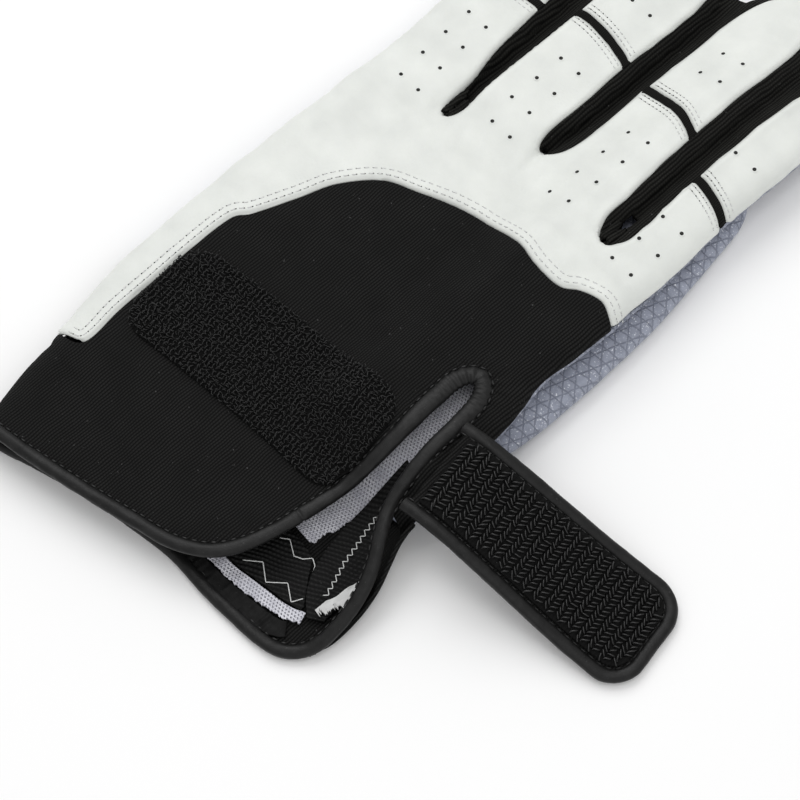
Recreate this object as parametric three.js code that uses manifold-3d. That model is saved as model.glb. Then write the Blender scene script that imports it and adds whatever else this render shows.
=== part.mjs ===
// A left-hand golf glove for wet weather, lying palm down with its closure open.
// Millimetres, +Z up, +Y along the middle finger, +X toward the thumb side.
import * as THREE from 'three';
import { mergeVertices } from 'three/addons/utils/BufferGeometryUtils.js';
import Module from 'manifold-3d';

const wasm = await Module();
wasm.setup();

// Driving dimensions
const PALM_WIDTH = 100;            // flat width across the knuckles
const HAND_LENGTH = 150;           // unit of the plan's lengths, wrist edge to the webs
const FINGER_LENGTH = { pinky: 59, ring: 73, middle: 80, index: 79 };   // web to tip
const WALL = 1.2;                  // leather and knit
const GAP = 0.3;                   // between neighbouring pieces
const PALM_THICKNESS = 11;         // the hollow hand from palm to back
const FINGER_THICKNESS = 9.4;
const WRIST_THICKNESS = 10.2;
const SIDE_ROLL = 8;               // how far the hand's rounded sides reach inward
const FINGER_ROLL = 5.6;
const THUMB_WIDTH = 25;
const THUMB_LENGTH = 106;          // heel of the thumb opening to the tip
const THUMB_THICKNESS = 7.3;
const LIFT_SHARE = 0.8;            // how much of the thumb's height shows on the back
const BAND_WIDTH = 2;              // elastic bands over the knuckles
const HOLE_DIAMETER = 1.1;         // perforations of the leather
const HOLE_PITCH = 8.6;
const HOLE_SPREAD = 6.4;
const BINDING_WIDTH = 3.4;         // piping round the wrist and the slit
const BINDING_HEIGHT = 2.6;
const FOOT_ROOM = 0.1;             // piping clears the surface that the palm lies on
const PATCH_LENGTH = 70;           // loop patch of the closure
const PATCH_WIDTH = 28.6;
const PATCH_THICKNESS = 1.4;
const STRAP_LENGTH = 65;
const STRAP_WIDTH = 27;
const STRAP_FLARE = 2.4;           // how much wider the strap is at its round end
const STRAP_THICKNESS = 1.4;
const STRAP_ANGLE = 10;            // degrees from +X
const STRAP_ROUND = 9;             // corner radius of its free end
const HOOK_THICKNESS = 1.4;
const LINING_THICKNESS = 1;
const PIECE_LIFT = LINING_THICKNESS + GAP;

// Materials
const cloth = (color, roughness) => new THREE.MeshStandardMaterial({ color, roughness, metalness: 0 });
const LEATHER = cloth(0xe6e8e3, 0.55);
const KNIT = cloth(0x151515, 0.9);
const RIB = cloth(0x1c1c1a, 0.95);
const PALM_CLOTH = cloth(0x989daa, 0.75);
const PIPING = cloth(0x2c2c2d, 0.45);
const LOOPS = cloth(0x0d0d0d, 1.0);
const HOOKS = cloth(0x121212, 0.4);
const MESH_CLOTH = cloth(0xc9c8d2, 0.8);
const TAPE = cloth(0xdedee0, 0.8);

// Small helpers
const radians = THREE.MathUtils.degToRad;
const smooth = (value, from, to) => THREE.MathUtils.smoothstep(value, from, to);
const wide = (share) => share * PALM_WIDTH;
const long = (share) => share * HAND_LENGTH;
const plan = (rows) => rows.map(([across, along]) => new THREE.Vector2(wide(across), long(along)));

function lookUp(rows, key, column) {
  const last = rows.length - 1;
  if (key <= rows[0][0]) return rows[0][column];
  if (key >= rows[last][0]) return rows[last][column];
  const next = rows.findIndex((row) => row[0] >= key);
  const [a, b] = [rows[next - 1], rows[next]];
  return THREE.MathUtils.lerp(a[column], b[column], (key - a[0]) / (b[0] - a[0]));
}

function curveThrough(points, steps) {
  return new THREE.SplineCurve(points).getPoints(steps);
}

// Solids from three.js geometry, and back to geometry
function solid(geometry) {
  const bare = geometry.clone();
  bare.deleteAttribute('normal');
  bare.deleteAttribute('uv');
  const merged = mergeVertices(bare, 1e-4);
  return new wasm.Manifold(new wasm.Mesh({
    numProp: 3,
    vertProperties: new Float32Array(merged.attributes.position.array),
    triVerts: new Uint32Array(merged.index.array),
  }));
}

function toGeometry(body) {
  const mesh = body.getMesh();
  const geometry = new THREE.BufferGeometry();
  geometry.setAttribute('position', new THREE.BufferAttribute(mesh.vertProperties, 3));
  geometry.setIndex(new THREE.BufferAttribute(mesh.triVerts, 1));
  geometry.computeVertexNormals();
  return geometry;
}

const unite = (bodies) => bodies.reduce((sum, body) => sum.add(body));

function prism(points, bottom, top) {
  const shape = new THREE.Shape(points);
  const geometry = new THREE.ExtrudeGeometry(shape, { depth: top - bottom, bevelEnabled: false, steps: 1 });
  return solid(geometry.translate(0, 0, bottom));
}

// A closed body through rings of equally many points; the ends are capped or joined
function loft(rings, closed = false) {
  const count = rings[0].length;
  const positions = rings.flat().flatMap((p) => [p.x, p.y, p.z]);
  const index = [];
  const bands = closed ? rings.length : rings.length - 1;
  for (let i = 0; i < bands; i += 1) {
    const next = (i + 1) % rings.length;
    for (let j = 0; j < count; j += 1) {
      const k = (j + 1) % count;
      const [a, b, c, d] = [i * count + j, i * count + k, next * count + k, next * count + j];
      index.push(a, b, c, a, c, d);
    }
  }
  if (!closed) capEnds(rings, count, positions, index);
  const geometry = new THREE.BufferGeometry();
  geometry.setAttribute('position', new THREE.Float32BufferAttribute(positions, 3));
  geometry.setIndex(index);
  const body = solid(geometry);
  return body.volume() < 0 ? solid(flipped(geometry)) : body;
}

function capEnds(rings, count, positions, index) {
  for (const end of [0, rings.length - 1]) {
    const ring = rings[end];
    const centre = ring.reduce((sum, p) => sum.add(p), new THREE.Vector3()).divideScalar(count);
    const tip = positions.length / 3;
    positions.push(centre.x, centre.y, centre.z);
    for (let j = 0; j < count; j += 1) {
      const [a, b] = [end * count + j, end * count + ((j + 1) % count)];
      if (end === 0) index.push(tip, b, a);
      else index.push(tip, a, b);
    }
  }
}

function flipped(geometry) {
  const turned = geometry.clone();
  const array = turned.index.array;
  for (let i = 0; i < array.length; i += 3) [array[i], array[i + 1]] = [array[i + 1], array[i]];
  return turned;
}

// A layer between two height functions over a rectangle of the plan
function layer(low, high, box, across, along) {
  const [x0, y0, x1, y1] = box;
  const rings = [];
  for (let i = 0; i <= along; i += 1) {
    const y = THREE.MathUtils.lerp(y0, y1, i / along);
    const xs = Array.from({ length: across + 1 }, (_, j) => THREE.MathUtils.lerp(x0, x1, j / across));
    const upper = xs.map((x) => new THREE.Vector3(x, y, high(x, y)));
    const lower = xs.map((x) => new THREE.Vector3(x, y, low(x, y))).reverse();
    rings.push([...upper, ...lower]);
  }
  return gridBody(rings, across + 1);
}

// The same layer as a closed body whose two end faces are strips, not fans
function gridBody(rings, columns) {
  const count = rings[0].length;
  const positions = rings.flat().flatMap((p) => [p.x, p.y, p.z]);
  const index = [];
  for (let i = 0; i < rings.length - 1; i += 1) {
    for (let j = 0; j < count; j += 1) {
      const k = (j + 1) % count;
      const [a, b, c, d] = [i * count + j, i * count + k, (i + 1) * count + k, (i + 1) * count + j];
      index.push(a, b, c, a, c, d);
    }
  }
  for (const end of [0, rings.length - 1]) {
    for (let j = 0; j < columns - 1; j += 1) {
      const [a, b] = [end * count + j, end * count + j + 1];
      const [c, d] = [end * count + count - 2 - j, end * count + count - 1 - j];
      if (end === 0) index.push(a, d, c, a, c, b);
      else index.push(a, c, d, a, b, c);
    }
  }
  const geometry = new THREE.BufferGeometry();
  geometry.setAttribute('position', new THREE.Float32BufferAttribute(positions, 3));
  geometry.setIndex(index);
  const body = solid(geometry);
  return body.volume() < 0 ? solid(flipped(geometry)) : body;
}

// Side lines of the hand: along (share of the hand's length), pinky side, thumb side
const HAND_SIDES = [
  [-0.64, -0.385, 0.49],
  [-0.58, -0.415, 0.49],
  [-0.48, -0.452, 0.49],
  [-0.36, -0.485, 0.49],
  [-0.26, -0.512, 0.492],
  [-0.15, -0.522, 0.492],
  [-0.05, -0.525, 0.488],
  [0.03, -0.526, 0.472],
  [0.09, -0.527, 0.458],
  [0.15, -0.526, 0.466],
  [0.23, -0.524, 0.472],
  [0.33, -0.522, 0.470],
];
// Thickness of the hollow hand: along, share of the palm's thickness
const HAND_PUFF = [
  [-0.64, WRIST_THICKNESS / PALM_THICKNESS],
  [-0.45, 0.92],
  [-0.25, 0.95],
  [0, 1],
  [0.25, 1],
  [0.34, FINGER_THICKNESS / PALM_THICKNESS],
  [0.7, 0.84],
  [0.95, 0.78],
];
// Where the thumb tucked under the palm raises it: across and along, as shares
const LIFT_ACROSS = [0.03, 0.19];
const LIFT_WRIST = [-0.26, -0.15];
const LIFT_TIPS = [0.66, 0.88];
const LIFT = THUMB_THICKNESS + GAP;

function underside(x, y) {
  const raised = smooth(x, wide(LIFT_ACROSS[0]), wide(LIFT_ACROSS[1]));
  const fromWrist = smooth(y, long(LIFT_WRIST[0]), long(LIFT_WRIST[1]));
  const towardTips = 1 - 0.6 * smooth(y, long(LIFT_TIPS[0]), long(LIFT_TIPS[1]));
  return LIFT * raised * fromWrist * towardTips;
}
const puff = (y) => PALM_THICKNESS * lookUp(HAND_PUFF, y / HAND_LENGTH, 1);
const backside = (x, y) => LIFT_SHARE * underside(x, y) + puff(y);
const middle = (x, y) => (underside(x, y) + backside(x, y)) / 2;

// A flat ring across the hand or a finger, with elliptic sides, made smaller by an inset
function sectionRing(y, left, right, roll, flats, inset, fullness, rollSteps) {
  const [a, b] = [left + inset, right - inset];
  const reach = Math.min(roll, (right - left) / 2) - inset;
  const upper = [];
  const lower = [];
  const put = (x, rise) => {
    const centre = middle(x, y);
    const half = Math.max(((backside(x, y) - underside(x, y)) / 2) * fullness - inset, 0.05) * rise;
    upper.push(new THREE.Vector3(x, y, centre + half));
    lower.push(new THREE.Vector3(x, y, centre - half));
  };
  for (let i = 0; i < rollSteps; i += 1) {
    const angle = (i / rollSteps) * Math.PI / 2;
    put(a + reach * (1 - Math.cos(angle)), Math.sin(angle));
  }
  for (let i = 0; i <= flats; i += 1) put(THREE.MathUtils.lerp(a + reach, b - reach, i / flats), 1);
  for (let i = rollSteps - 1; i >= 0; i -= 1) {
    const angle = (i / rollSteps) * Math.PI / 2;
    put(b - reach * (1 - Math.cos(angle)), Math.sin(angle));
  }
  return [...upper, ...lower.slice(1, -1).reverse()];
}

const HAND_END = 0.3245;           // where the four fingers take over from the hand
function handBody(inset) {
  const FLATS = 6;
  const ROLL_STEPS = 3;
  const stations = HAND_SIDES.map(([along]) => long(along)).filter((y) => y < long(HAND_END));
  if (inset > 0) stations[0] -= 2 * WALL;
  stations.push(long(HAND_END) - inset);
  return loft(stations.map((y) => {
    const key = y / HAND_LENGTH;
    const sides = [1, 2].map((column) => wide(lookUp(HAND_SIDES, key, column)));
    return sectionRing(y, sides[0], sides[1], SIDE_ROLL, FLATS, inset, 1, ROLL_STEPS);
  }));
}

// Fingers: web line (share of the hand), side lines (along the finger, left, right)
const FINGERS = {
  pinky: { web: 0.333, sides: [
    [-0.34, -0.522, -0.20], [0, -0.522, -0.263], [0.2, -0.525, -0.281],
    [0.45, -0.531, -0.288], [0.7, -0.532, -0.296], [1, -0.515, -0.315]] },
  ring: { web: 0.41, sides: [
    [-0.43, -0.33, 0.06], [-0.16, -0.264, 0.025], [0, -0.276, -0.018],
    [0.2, -0.281, -0.008], [0.5, -0.281, -0.010], [0.8, -0.275, -0.012], [1, -0.255, -0.03]] },
  middle: { web: 0.41, sides: [
    [-0.43, -0.07, 0.34], [-0.14, -0.045, 0.286], [0, -0.020, 0.284],
    [0.2, 0.000, 0.279], [0.5, 0.000, 0.276], [0.8, 0.005, 0.270], [1, 0.02, 0.255]] },
  index: { web: 0.338, sides: [
    [-0.26, 0.22, 0.472], [0, 0.282, 0.470], [0.14, 0.290, 0.465],
    [0.3, 0.286, 0.456], [0.6, 0.288, 0.462], [0.85, 0.292, 0.462], [1, 0.305, 0.45]] },
};
const FINGER_NAMES = Object.keys(FINGERS);
for (const name of FINGER_NAMES) {
  const finger = FINGERS[name];
  finger.start = long(finger.web);
  finger.tip = finger.start + FINGER_LENGTH[name];
  finger.side = (y, column) => wide(lookUp(finger.sides, (y - finger.start) / FINGER_LENGTH[name], column));
}

function fingerBody(name, inset) {
  const FLATS = name === 'middle' ? 2 : 1;
  const ROLL_STEPS = inset > 0 ? 1 : 2;      // fewer facets on the hidden inner face
  const ROUNDING = [0.5, 0.82, 0.98];
  const finger = FINGERS[name];
  const tip = finger.tip - inset;
  const half = (finger.side(tip, 2) - finger.side(tip, 1)) / 2;
  const shoulder = tip - half;
  const straight = finger.sides.map(([along]) => finger.start + along * FINGER_LENGTH[name])
    .filter((y) => y < shoulder - 3);
  const rings = [...straight, shoulder].map((y) => {
    const fullness = 1 - 0.1 * smooth(finger.start - y, SIDE_ROLL / 2, 2 * SIDE_ROLL);
    return sectionRing(y, finger.side(y, 1), finger.side(y, 2), FINGER_ROLL, FLATS, inset, fullness, ROLL_STEPS);
  });
  for (const share of ROUNDING) {
    const y = shoulder + share * half;
    const shrink = Math.sqrt(1 - share * share);
    const centre = (finger.side(y, 1) + finger.side(y, 2)) / 2;
    const reach = Math.max((finger.side(y, 2) - finger.side(y, 1)) / 2 - inset, 1) * shrink;
    const fullness = Math.sqrt(1 - share ** 4);
    rings.push(sectionRing(y, centre - reach - inset, centre + reach + inset,
      FINGER_ROLL * shrink + inset, FLATS, inset, fullness, ROLL_STEPS));
  }
  return loft(rings);
}

const outer = unite([handBody(0), ...FINGER_NAMES.map((name) => fingerBody(name, 0))]);
const hollow = unite([handBody(WALL), ...FINGER_NAMES.map((name) => fingerBody(name, WALL))]);
const shell = outer.subtract(hollow);

// Cutting bodies: thin curtains along seams, and the surface that parts back from palm
const SKY = 60;
const FLOOR = -5;
const FAR = 1.2;

function offsetLine(points, distance) {
  return points.map((point, i) => {
    const before = points[Math.max(i - 1, 0)];
    const after = points[Math.min(i + 1, points.length - 1)];
    const along = after.clone().sub(before).normalize();
    return new THREE.Vector2(point.x - along.y * distance, point.y + along.x * distance);
  });
}

function curtain(points) {
  const ribbon = [...offsetLine(points, GAP / 2), ...offsetLine(points, -GAP / 2).reverse()];
  return prism(ribbon, FLOOR, SKY);
}

const everywhere = [wide(-0.7), long(-0.75), wide(0.7), long(FAR)];
const above = layer((x, y) => middle(x, y) + GAP / 2, () => SKY, everywhere, 6, 9);
const below = layer(() => FLOOR, (x, y) => middle(x, y) - GAP / 2, everywhere, 6, 9);

// Gusset seams between the fingers, on the left and right finger of each web
const GUSSETS = [
  { name: 'fourchette_pinky_ring',
    left: [[-0.262, 0.322], [-0.279, 0.352], [-0.288, 0.41], [-0.309, 0.48], [-0.322, 0.58],
      [-0.335, 0.66], [-0.372, 0.712], [-0.41, 0.745]],
    right: [[-0.262, 0.322], [-0.248, 0.355], [-0.256, 0.43], [-0.254, 0.55], [-0.253, 0.70],
      [-0.245, 0.81], [-0.20, 0.872], [-0.15, 0.915]] },
  { name: 'fourchette_ring_middle',
    left: [[-0.022, 0.395], [-0.042, 0.425], [-0.042, 0.50], [-0.047, 0.60], [-0.04, 0.72],
      [-0.045, 0.81], [-0.08, 0.87], [-0.13, 0.915]],
    right: [[-0.022, 0.395], [0.018, 0.418], [0.032, 0.48], [0.028, 0.58], [0.035, 0.70],
      [0.04, 0.84], [0.08, 0.915], [0.13, 0.965]] },
  { name: 'fourchette_middle_index',
    left: [[0.286, 0.328], [0.252, 0.36], [0.247, 0.42], [0.237, 0.52], [0.235, 0.66],
      [0.232, 0.83], [0.20, 0.905], [0.15, 0.965]],
    right: [[0.286, 0.328], [0.322, 0.348], [0.33, 0.40], [0.322, 0.48], [0.322, 0.62],
      [0.328, 0.76], [0.35, 0.83], [0.38, 0.885]] },
];
for (const gusset of GUSSETS) {
  const STEPS = 24;
  gusset.line = curveThrough(plan([...gusset.left.slice(1).reverse(), ...gusset.right]), STEPS);
  const beyond = Math.max(gusset.line[0].y, gusset.line[STEPS].y) + WALL;
  const ends = [gusset.line[STEPS], gusset.line[0]].map((end) => new THREE.Vector2(end.x, beyond));
  gusset.outline = [...gusset.line, ...ends];
}
const gussetCurtains = unite(GUSSETS.map((gusset) => curtain(gusset.line)));
const gussetPrisms = GUSSETS.map((gusset) => prism(gusset.outline, FLOOR, SKY));
const seamed = shell.subtract(gussetCurtains);
const fingersOpen = seamed.subtract(unite(gussetPrisms));
const backShell = fingersOpen.intersect(above);
const palmShell = fingersOpen.intersect(below);

// Wavy seam between white leather and black knit, from the pinky side to the thumb side
const CUFF_SEAM = [
  [-0.56, -0.42], [-0.46, -0.418], [-0.388, -0.40], [-0.395, -0.32], [-0.398, -0.25],
  [-0.402, -0.17], [-0.399, -0.08], [-0.37, -0.045], [-0.325, 0.03], [-0.29, 0.092],
  [-0.22, 0.152], [-0.135, 0.18], [-0.04, 0.207], [0.05, 0.222], [0.15, 0.222],
  [0.23, 0.212], [0.31, 0.212], [0.355, 0.232], [0.41, 0.243], [0.46, 0.232], [0.53, 0.215],
];
const cuffSeam = curveThrough(plan(CUFF_SEAM), 38);

// Knuckle bands: along (share of the hand) at the left, the left third, the right third, the right
const BANDS = {
  pinky: [0.553, 0.58, 0.586, 0.59],
  ring: [0.622, 0.63, 0.619, 0.592],
  middle: [0.60, 0.60, 0.583, 0.543],
  index: [0.515, 0.517, 0.506, 0.486],
};
const OVERHANG = 0.03;
function bandLine(name, shift) {
  const finger = FINGERS[name];
  const y = long(BANDS[name][0]);
  const [left, right] = [finger.side(y, 1), finger.side(y, 2)];
  const spread = right - left;
  const xs = [left - wide(OVERHANG), left + spread * 0.3, left + spread * 0.7, right + wide(OVERHANG)];
  const points = xs.map((x, i) => new THREE.Vector2(x, long(BANDS[name][i]) + shift));
  return curveThrough(points, 6);
}

const BACK_FAR = new THREE.Vector2(wide(0.62), long(FAR));
const backOutline = [
  ...cuffSeam,
  new THREE.Vector2(BACK_FAR.x, cuffSeam[cuffSeam.length - 1].y),
  BACK_FAR,
  new THREE.Vector2(-BACK_FAR.x, BACK_FAR.y),
  new THREE.Vector2(-BACK_FAR.x, cuffSeam[0].y),
];

// One strip of the back: the finger's own column between its neighbours' gussets
function fingerColumn(name) {
  const i = FINGER_NAMES.indexOf(name);
  const start = long(0.43);
  const leftEdge = i === 0 ? wide(-0.62) : wide([0, -0.27, -0.005, 0.28][i]);
  const rightEdge = i === 3 ? wide(0.62) : wide([-0.28, -0.01, 0.28][i]);
  return [
    new THREE.Vector2(leftEdge, start),
    new THREE.Vector2(rightEdge, start),
    new THREE.Vector2(rightEdge, long(FAR)),
    new THREE.Vector2(leftEdge, long(FAR)),
  ];
}

function bandStrip(name) {
  return [...bandLine(name, 0), ...bandLine(name, BAND_WIDTH).reverse()];
}

function beyondBand(name) {
  const line = bandLine(name, BAND_WIDTH);
  const last = line[line.length - 1];
  return [...line, new THREE.Vector2(last.x, long(FAR)), new THREE.Vector2(line[0].x, long(FAR))];
}

// Perforations in two columns, counted from the knuckle band in both directions
function perforations(name) {
  const SIDES = 4;
  const FIRST_ROW = 13.1;
  const ROWS = { pinky: [4, 1], ring: [4, 2], middle: [4, 2], index: [3, 1] };
  const finger = FINGERS[name];
  const [near, far] = ROWS[name];
  const holes = [];
  for (let row = -near; row < far; row += 1) {
    const side = Math.sign(row + 0.5);
    const level = long(BANDS[name][1]) + (row + 0.5) * HOLE_PITCH + side * (FIRST_ROW - HOLE_PITCH / 2);
    for (const column of [-1, 1]) {
      const centre = (finger.side(level, 1) + finger.side(level, 2)) / 2;
      const hole = new THREE.CylinderGeometry(HOLE_DIAMETER / 2, HOLE_DIAMETER / 2, SKY, SIDES);
      hole.rotateX(Math.PI / 2);
      const x = centre + column * HOLE_SPREAD / 2;
      hole.translate(x, level, middle(x, level) + SKY / 2);
      holes.push(solid(hole));
    }
  }
  return unite(holes);
}

// Piping: one closed line round the upper wrist edge, the slit and the lower wrist edge.
// Columns: across, along, height above the sheet's own height or the floor, width share
const UPPER = 'upper';
const LOWER = 'lower';
const BINDING_LINE = [
  [-0.36, -0.602, UPPER, 1], [-0.25, -0.588, UPPER, 1], [-0.09, -0.563, UPPER, 1], [0.05, -0.538, UPPER, 1],
  [0.145, -0.520, UPPER, 1], [0.213, -0.492, UPPER, 1], [0.256, -0.455, UPPER, 1], [0.285, -0.402, UPPER, 1],
  [0.305, -0.335, UPPER, 1], [0.32, -0.26, UPPER, 1.02], [0.328, -0.19, UPPER, 1.1], [0.324, -0.125, UPPER, 1.25],
  [0.319, -0.06, UPPER, 1.35], [0.320, -0.025, UPPER, 1.35], [0.333, -0.002, UPPER, 1.3],
  [0.357, 0.008, UPPER, 1.3], [0.382, -0.003, UPPER, 1.3], [0.398, -0.028, UPPER, 1.3],
  [0.405, -0.07, UPPER, 1.25], [0.409, -0.13, UPPER, 1.15], [0.418, -0.185, UPPER, 1.05],
  [0.436, -0.235, 12.6, 1], [0.468, -0.275, 11.4, 1], [0.503, -0.310, 9.6, 1], [0.528, -0.345, 7.8, 1],
  [0.544, -0.385, 6.0, 1], [0.550, -0.425, 4.2, 1], [0.545, -0.458, 2.6, 1], [0.525, -0.485, 1.5, 1],
  [0.49, -0.505, LOWER, 1], [0.44, -0.514, LOWER, 1], [0.36, -0.518, LOWER, 1], [0.26, -0.521, LOWER, 1],
  [0.14, -0.520, LOWER, 1], [0.0, -0.535, LOWER, 1], [-0.15, -0.558, LOWER, 1], [-0.28, -0.585, LOWER, 1],
  [-0.355, -0.603, 1.8, 1], [-0.384, -0.611, 4.3, 1], [-0.385, -0.608, 6.0, 1],
];

function bindingPath(steps) {
  const points = BINDING_LINE.map(([across, along, level]) => {
    const [x, y] = [wide(across), long(along)];
    const upper = backside(x, y) - WALL / 2;
    const z = level === UPPER ? upper : level === LOWER ? BINDING_HEIGHT / 2 + FOOT_ROOM : level;
    return new THREE.Vector3(x, y, z);
  });
  const curve = new THREE.CatmullRomCurve3(points, true, 'centripetal');
  return Array.from({ length: steps }, (_, i) => {
    const t = i / steps;
    const row = t * BINDING_LINE.length;
    const [a, b] = [Math.floor(row), (Math.floor(row) + 1) % BINDING_LINE.length];
    const swell = THREE.MathUtils.lerp(BINDING_LINE[a][3], BINDING_LINE[b][3], row % 1);
    return { point: curve.getPoint(t), tangent: curve.getTangent(t), swell };
  });
}

function pipe(path, width, height, closed) {
  const SIDES = 6;
  const up = new THREE.Vector3(0, 0, 1);
  const rings = path.map(({ point, tangent, swell = 1 }) => {
    const side = new THREE.Vector3().crossVectors(up, tangent).normalize();
    const rise = new THREE.Vector3().crossVectors(tangent, side).normalize();
    return Array.from({ length: SIDES }, (_, k) => {
      const angle = (k / SIDES) * Math.PI * 2;
      const flatTop = 1 / Math.cos(Math.PI / SIDES);
      return point.clone()
        .addScaledVector(side, Math.cos(angle) * width * swell / 2)
        .addScaledVector(rise, Math.sin(angle) * flatTop * height / 2);
    });
  });
  return loft(rings, closed);
}

const binding = bindingPath(60);
const bindingBody = pipe(binding, BINDING_WIDTH, BINDING_HEIGHT, true);
const bindingRoom = pipe(binding, BINDING_WIDTH + 2 * GAP, BINDING_HEIGHT + 2 * GAP, true);

// What the slit and the upper wrist edge leave open, bounded by the piping's middle
const upperBinding = binding.map(({ point }) => new THREE.Vector2(point.x, point.y));
const UPPER_ROWS = BINDING_LINE.findIndex((row) => row[0] > 0.43 && row[1] < -0.23);
const upperCount = Math.round((UPPER_ROWS / BINDING_LINE.length) * binding.length);
const slitOutline = [
  new THREE.Vector2(wide(-0.62), upperBinding[0].y - (upperBinding[0].x + wide(0.62)) * 0.2),
  ...upperBinding.slice(0, upperCount + 1),
  new THREE.Vector2(wide(0.62), long(-0.245)),
  new THREE.Vector2(wide(0.62), long(-0.75)),
  new THREE.Vector2(wide(-0.62), long(-0.75)),
];
const slitCut = prism(slitOutline, FLOOR, SKY);

// Lower wrist: a sheet from the pinky side under the hand and up to the slit's right edge.
// Columns: along, thumb side line, height of the right edge, how far the edge leans in
const LOWER_SIDE = [
  [-0.64, 0.50, 0.0, 0],
  [-0.53, 0.52, 0.0, 0],
  [-0.485, 0.553, 0.2, 0.1],
  [-0.45, 0.568, 1.4, 0.3],
  [-0.415, 0.574, 3.2, 0.8],
  [-0.375, 0.572, 5.0, 1.4],
  [-0.335, 0.560, 6.8, 2.0],
  [-0.295, 0.537, 8.8, 2.4],
  [-0.262, 0.515, 10.0, 2.6],
  [-0.248, 0.508, 10.4, 2.6],
];
const PALM_SEAM = -0.25;           // knit of the wrist meets the palm cloth here

// The curl at its right edge: inset (share of the curl, share of the lean), rise, turn
const CURL = 7;
const CURL_SLOPE = 0.45;           // share of the curl's height that the inner pieces climb
const CURL_SHAPE = [
  [0.4, 0, 0.05, 0.15],
  [0.1, 0, 0.2, 0.4],
  [0, 0, 0.45, 0.75],
  [0, 0.4, 0.75, 0.95],
  [0, 1, 1, 1],
];

// One ring of the lower sheet: its outer line, then its inner line backward
function sheetRing(y) {
  const ROLL_STEPS = 3;
  const SPANS = 3;
  const key = y / HAND_LENGTH;
  const [side, rise, lean] = [wide(lookUp(LOWER_SIDE, key, 1)), lookUp(LOWER_SIDE, key, 2), lookUp(LOWER_SIDE, key, 3)];
  const left = wide(lookUp(HAND_SIDES, key, 1));
  const drop = puff(y) / 2 - GAP / 2;
  const outerLine = [];
  const innerLine = [];
  const put = (x, z, angle) => {
    outerLine.push(new THREE.Vector3(x, y, z));
    innerLine.push(new THREE.Vector3(x + WALL * Math.cos(angle), y, z + WALL * Math.sin(angle)));
  };
  for (let i = 0; i <= ROLL_STEPS; i += 1) {
    const angle = (i / ROLL_STEPS) * Math.PI / 2;
    put(left + SIDE_ROLL * (1 - Math.cos(angle)), drop * (1 - Math.sin(angle)), angle);
  }
  for (let i = 1; i <= SPANS; i += 1) {
    put(THREE.MathUtils.lerp(left + SIDE_ROLL, side - CURL, i / SPANS), 0, Math.PI / 2);
  }
  const flat = 1 - smooth(rise, 0, 3);
  CURL_SHAPE.forEach(([inward, leaning, height, turn], i) => {
    const x = side - inward * CURL - leaning * lean + flat * 0.2 * i;
    put(x, height * rise, Math.PI / 2 + turn * radians(80) * smooth(rise, 0, 6));
  });
  return [...outerLine, ...innerLine.reverse()];
}

function lowerSheet() {
  const stations = LOWER_SIDE.map(([along]) => long(along));
  stations[stations.length - 1] = long(PALM_SEAM) - GAP;
  const rings = stations.map(sheetRing);
  return gridBody(rings, rings[0].length / 2);
}

const lowerBinding = upperBinding.slice(upperCount);
const lowerOutline = [
  ...lowerBinding.filter((p) => p.y < long(-0.47)),
  new THREE.Vector2(wide(-0.62), long(-0.66)),
  new THREE.Vector2(wide(-0.62), long(-0.75)),
  new THREE.Vector2(wide(0.7), long(-0.75)),
  new THREE.Vector2(wide(0.7), long(-0.47)),
];
const lowerCut = prism(lowerOutline, FLOOR, BINDING_HEIGHT + WRIST_THICKNESS / 2);

// Thumb: a sleeve under the index side, opening upward into the palm near its heel
const THUMB_HEEL = -0.085;         // share of the hand
const THUMB_LIP = 0.175;           // from here on the sleeve lies straight
const THUMB_TURN = [0, 0.12, 0.26, 0.45, 0.7, 1];
const THUMB_SIDES = [
  [-0.09, 0.270, 0.500], [0.0, 0.268, 0.517], [0.12, 0.268, 0.523], [0.25, 0.264, 0.521],
  [0.36, 0.254, 0.507], [0.47, 0.232, 0.484], [0.55, 0.212, 0.462], [0.6, 0.20, 0.45],
];
const THUMB_MOUTH = { across: 0.335, along: 0.107, width: 13, length: 17 };

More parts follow.
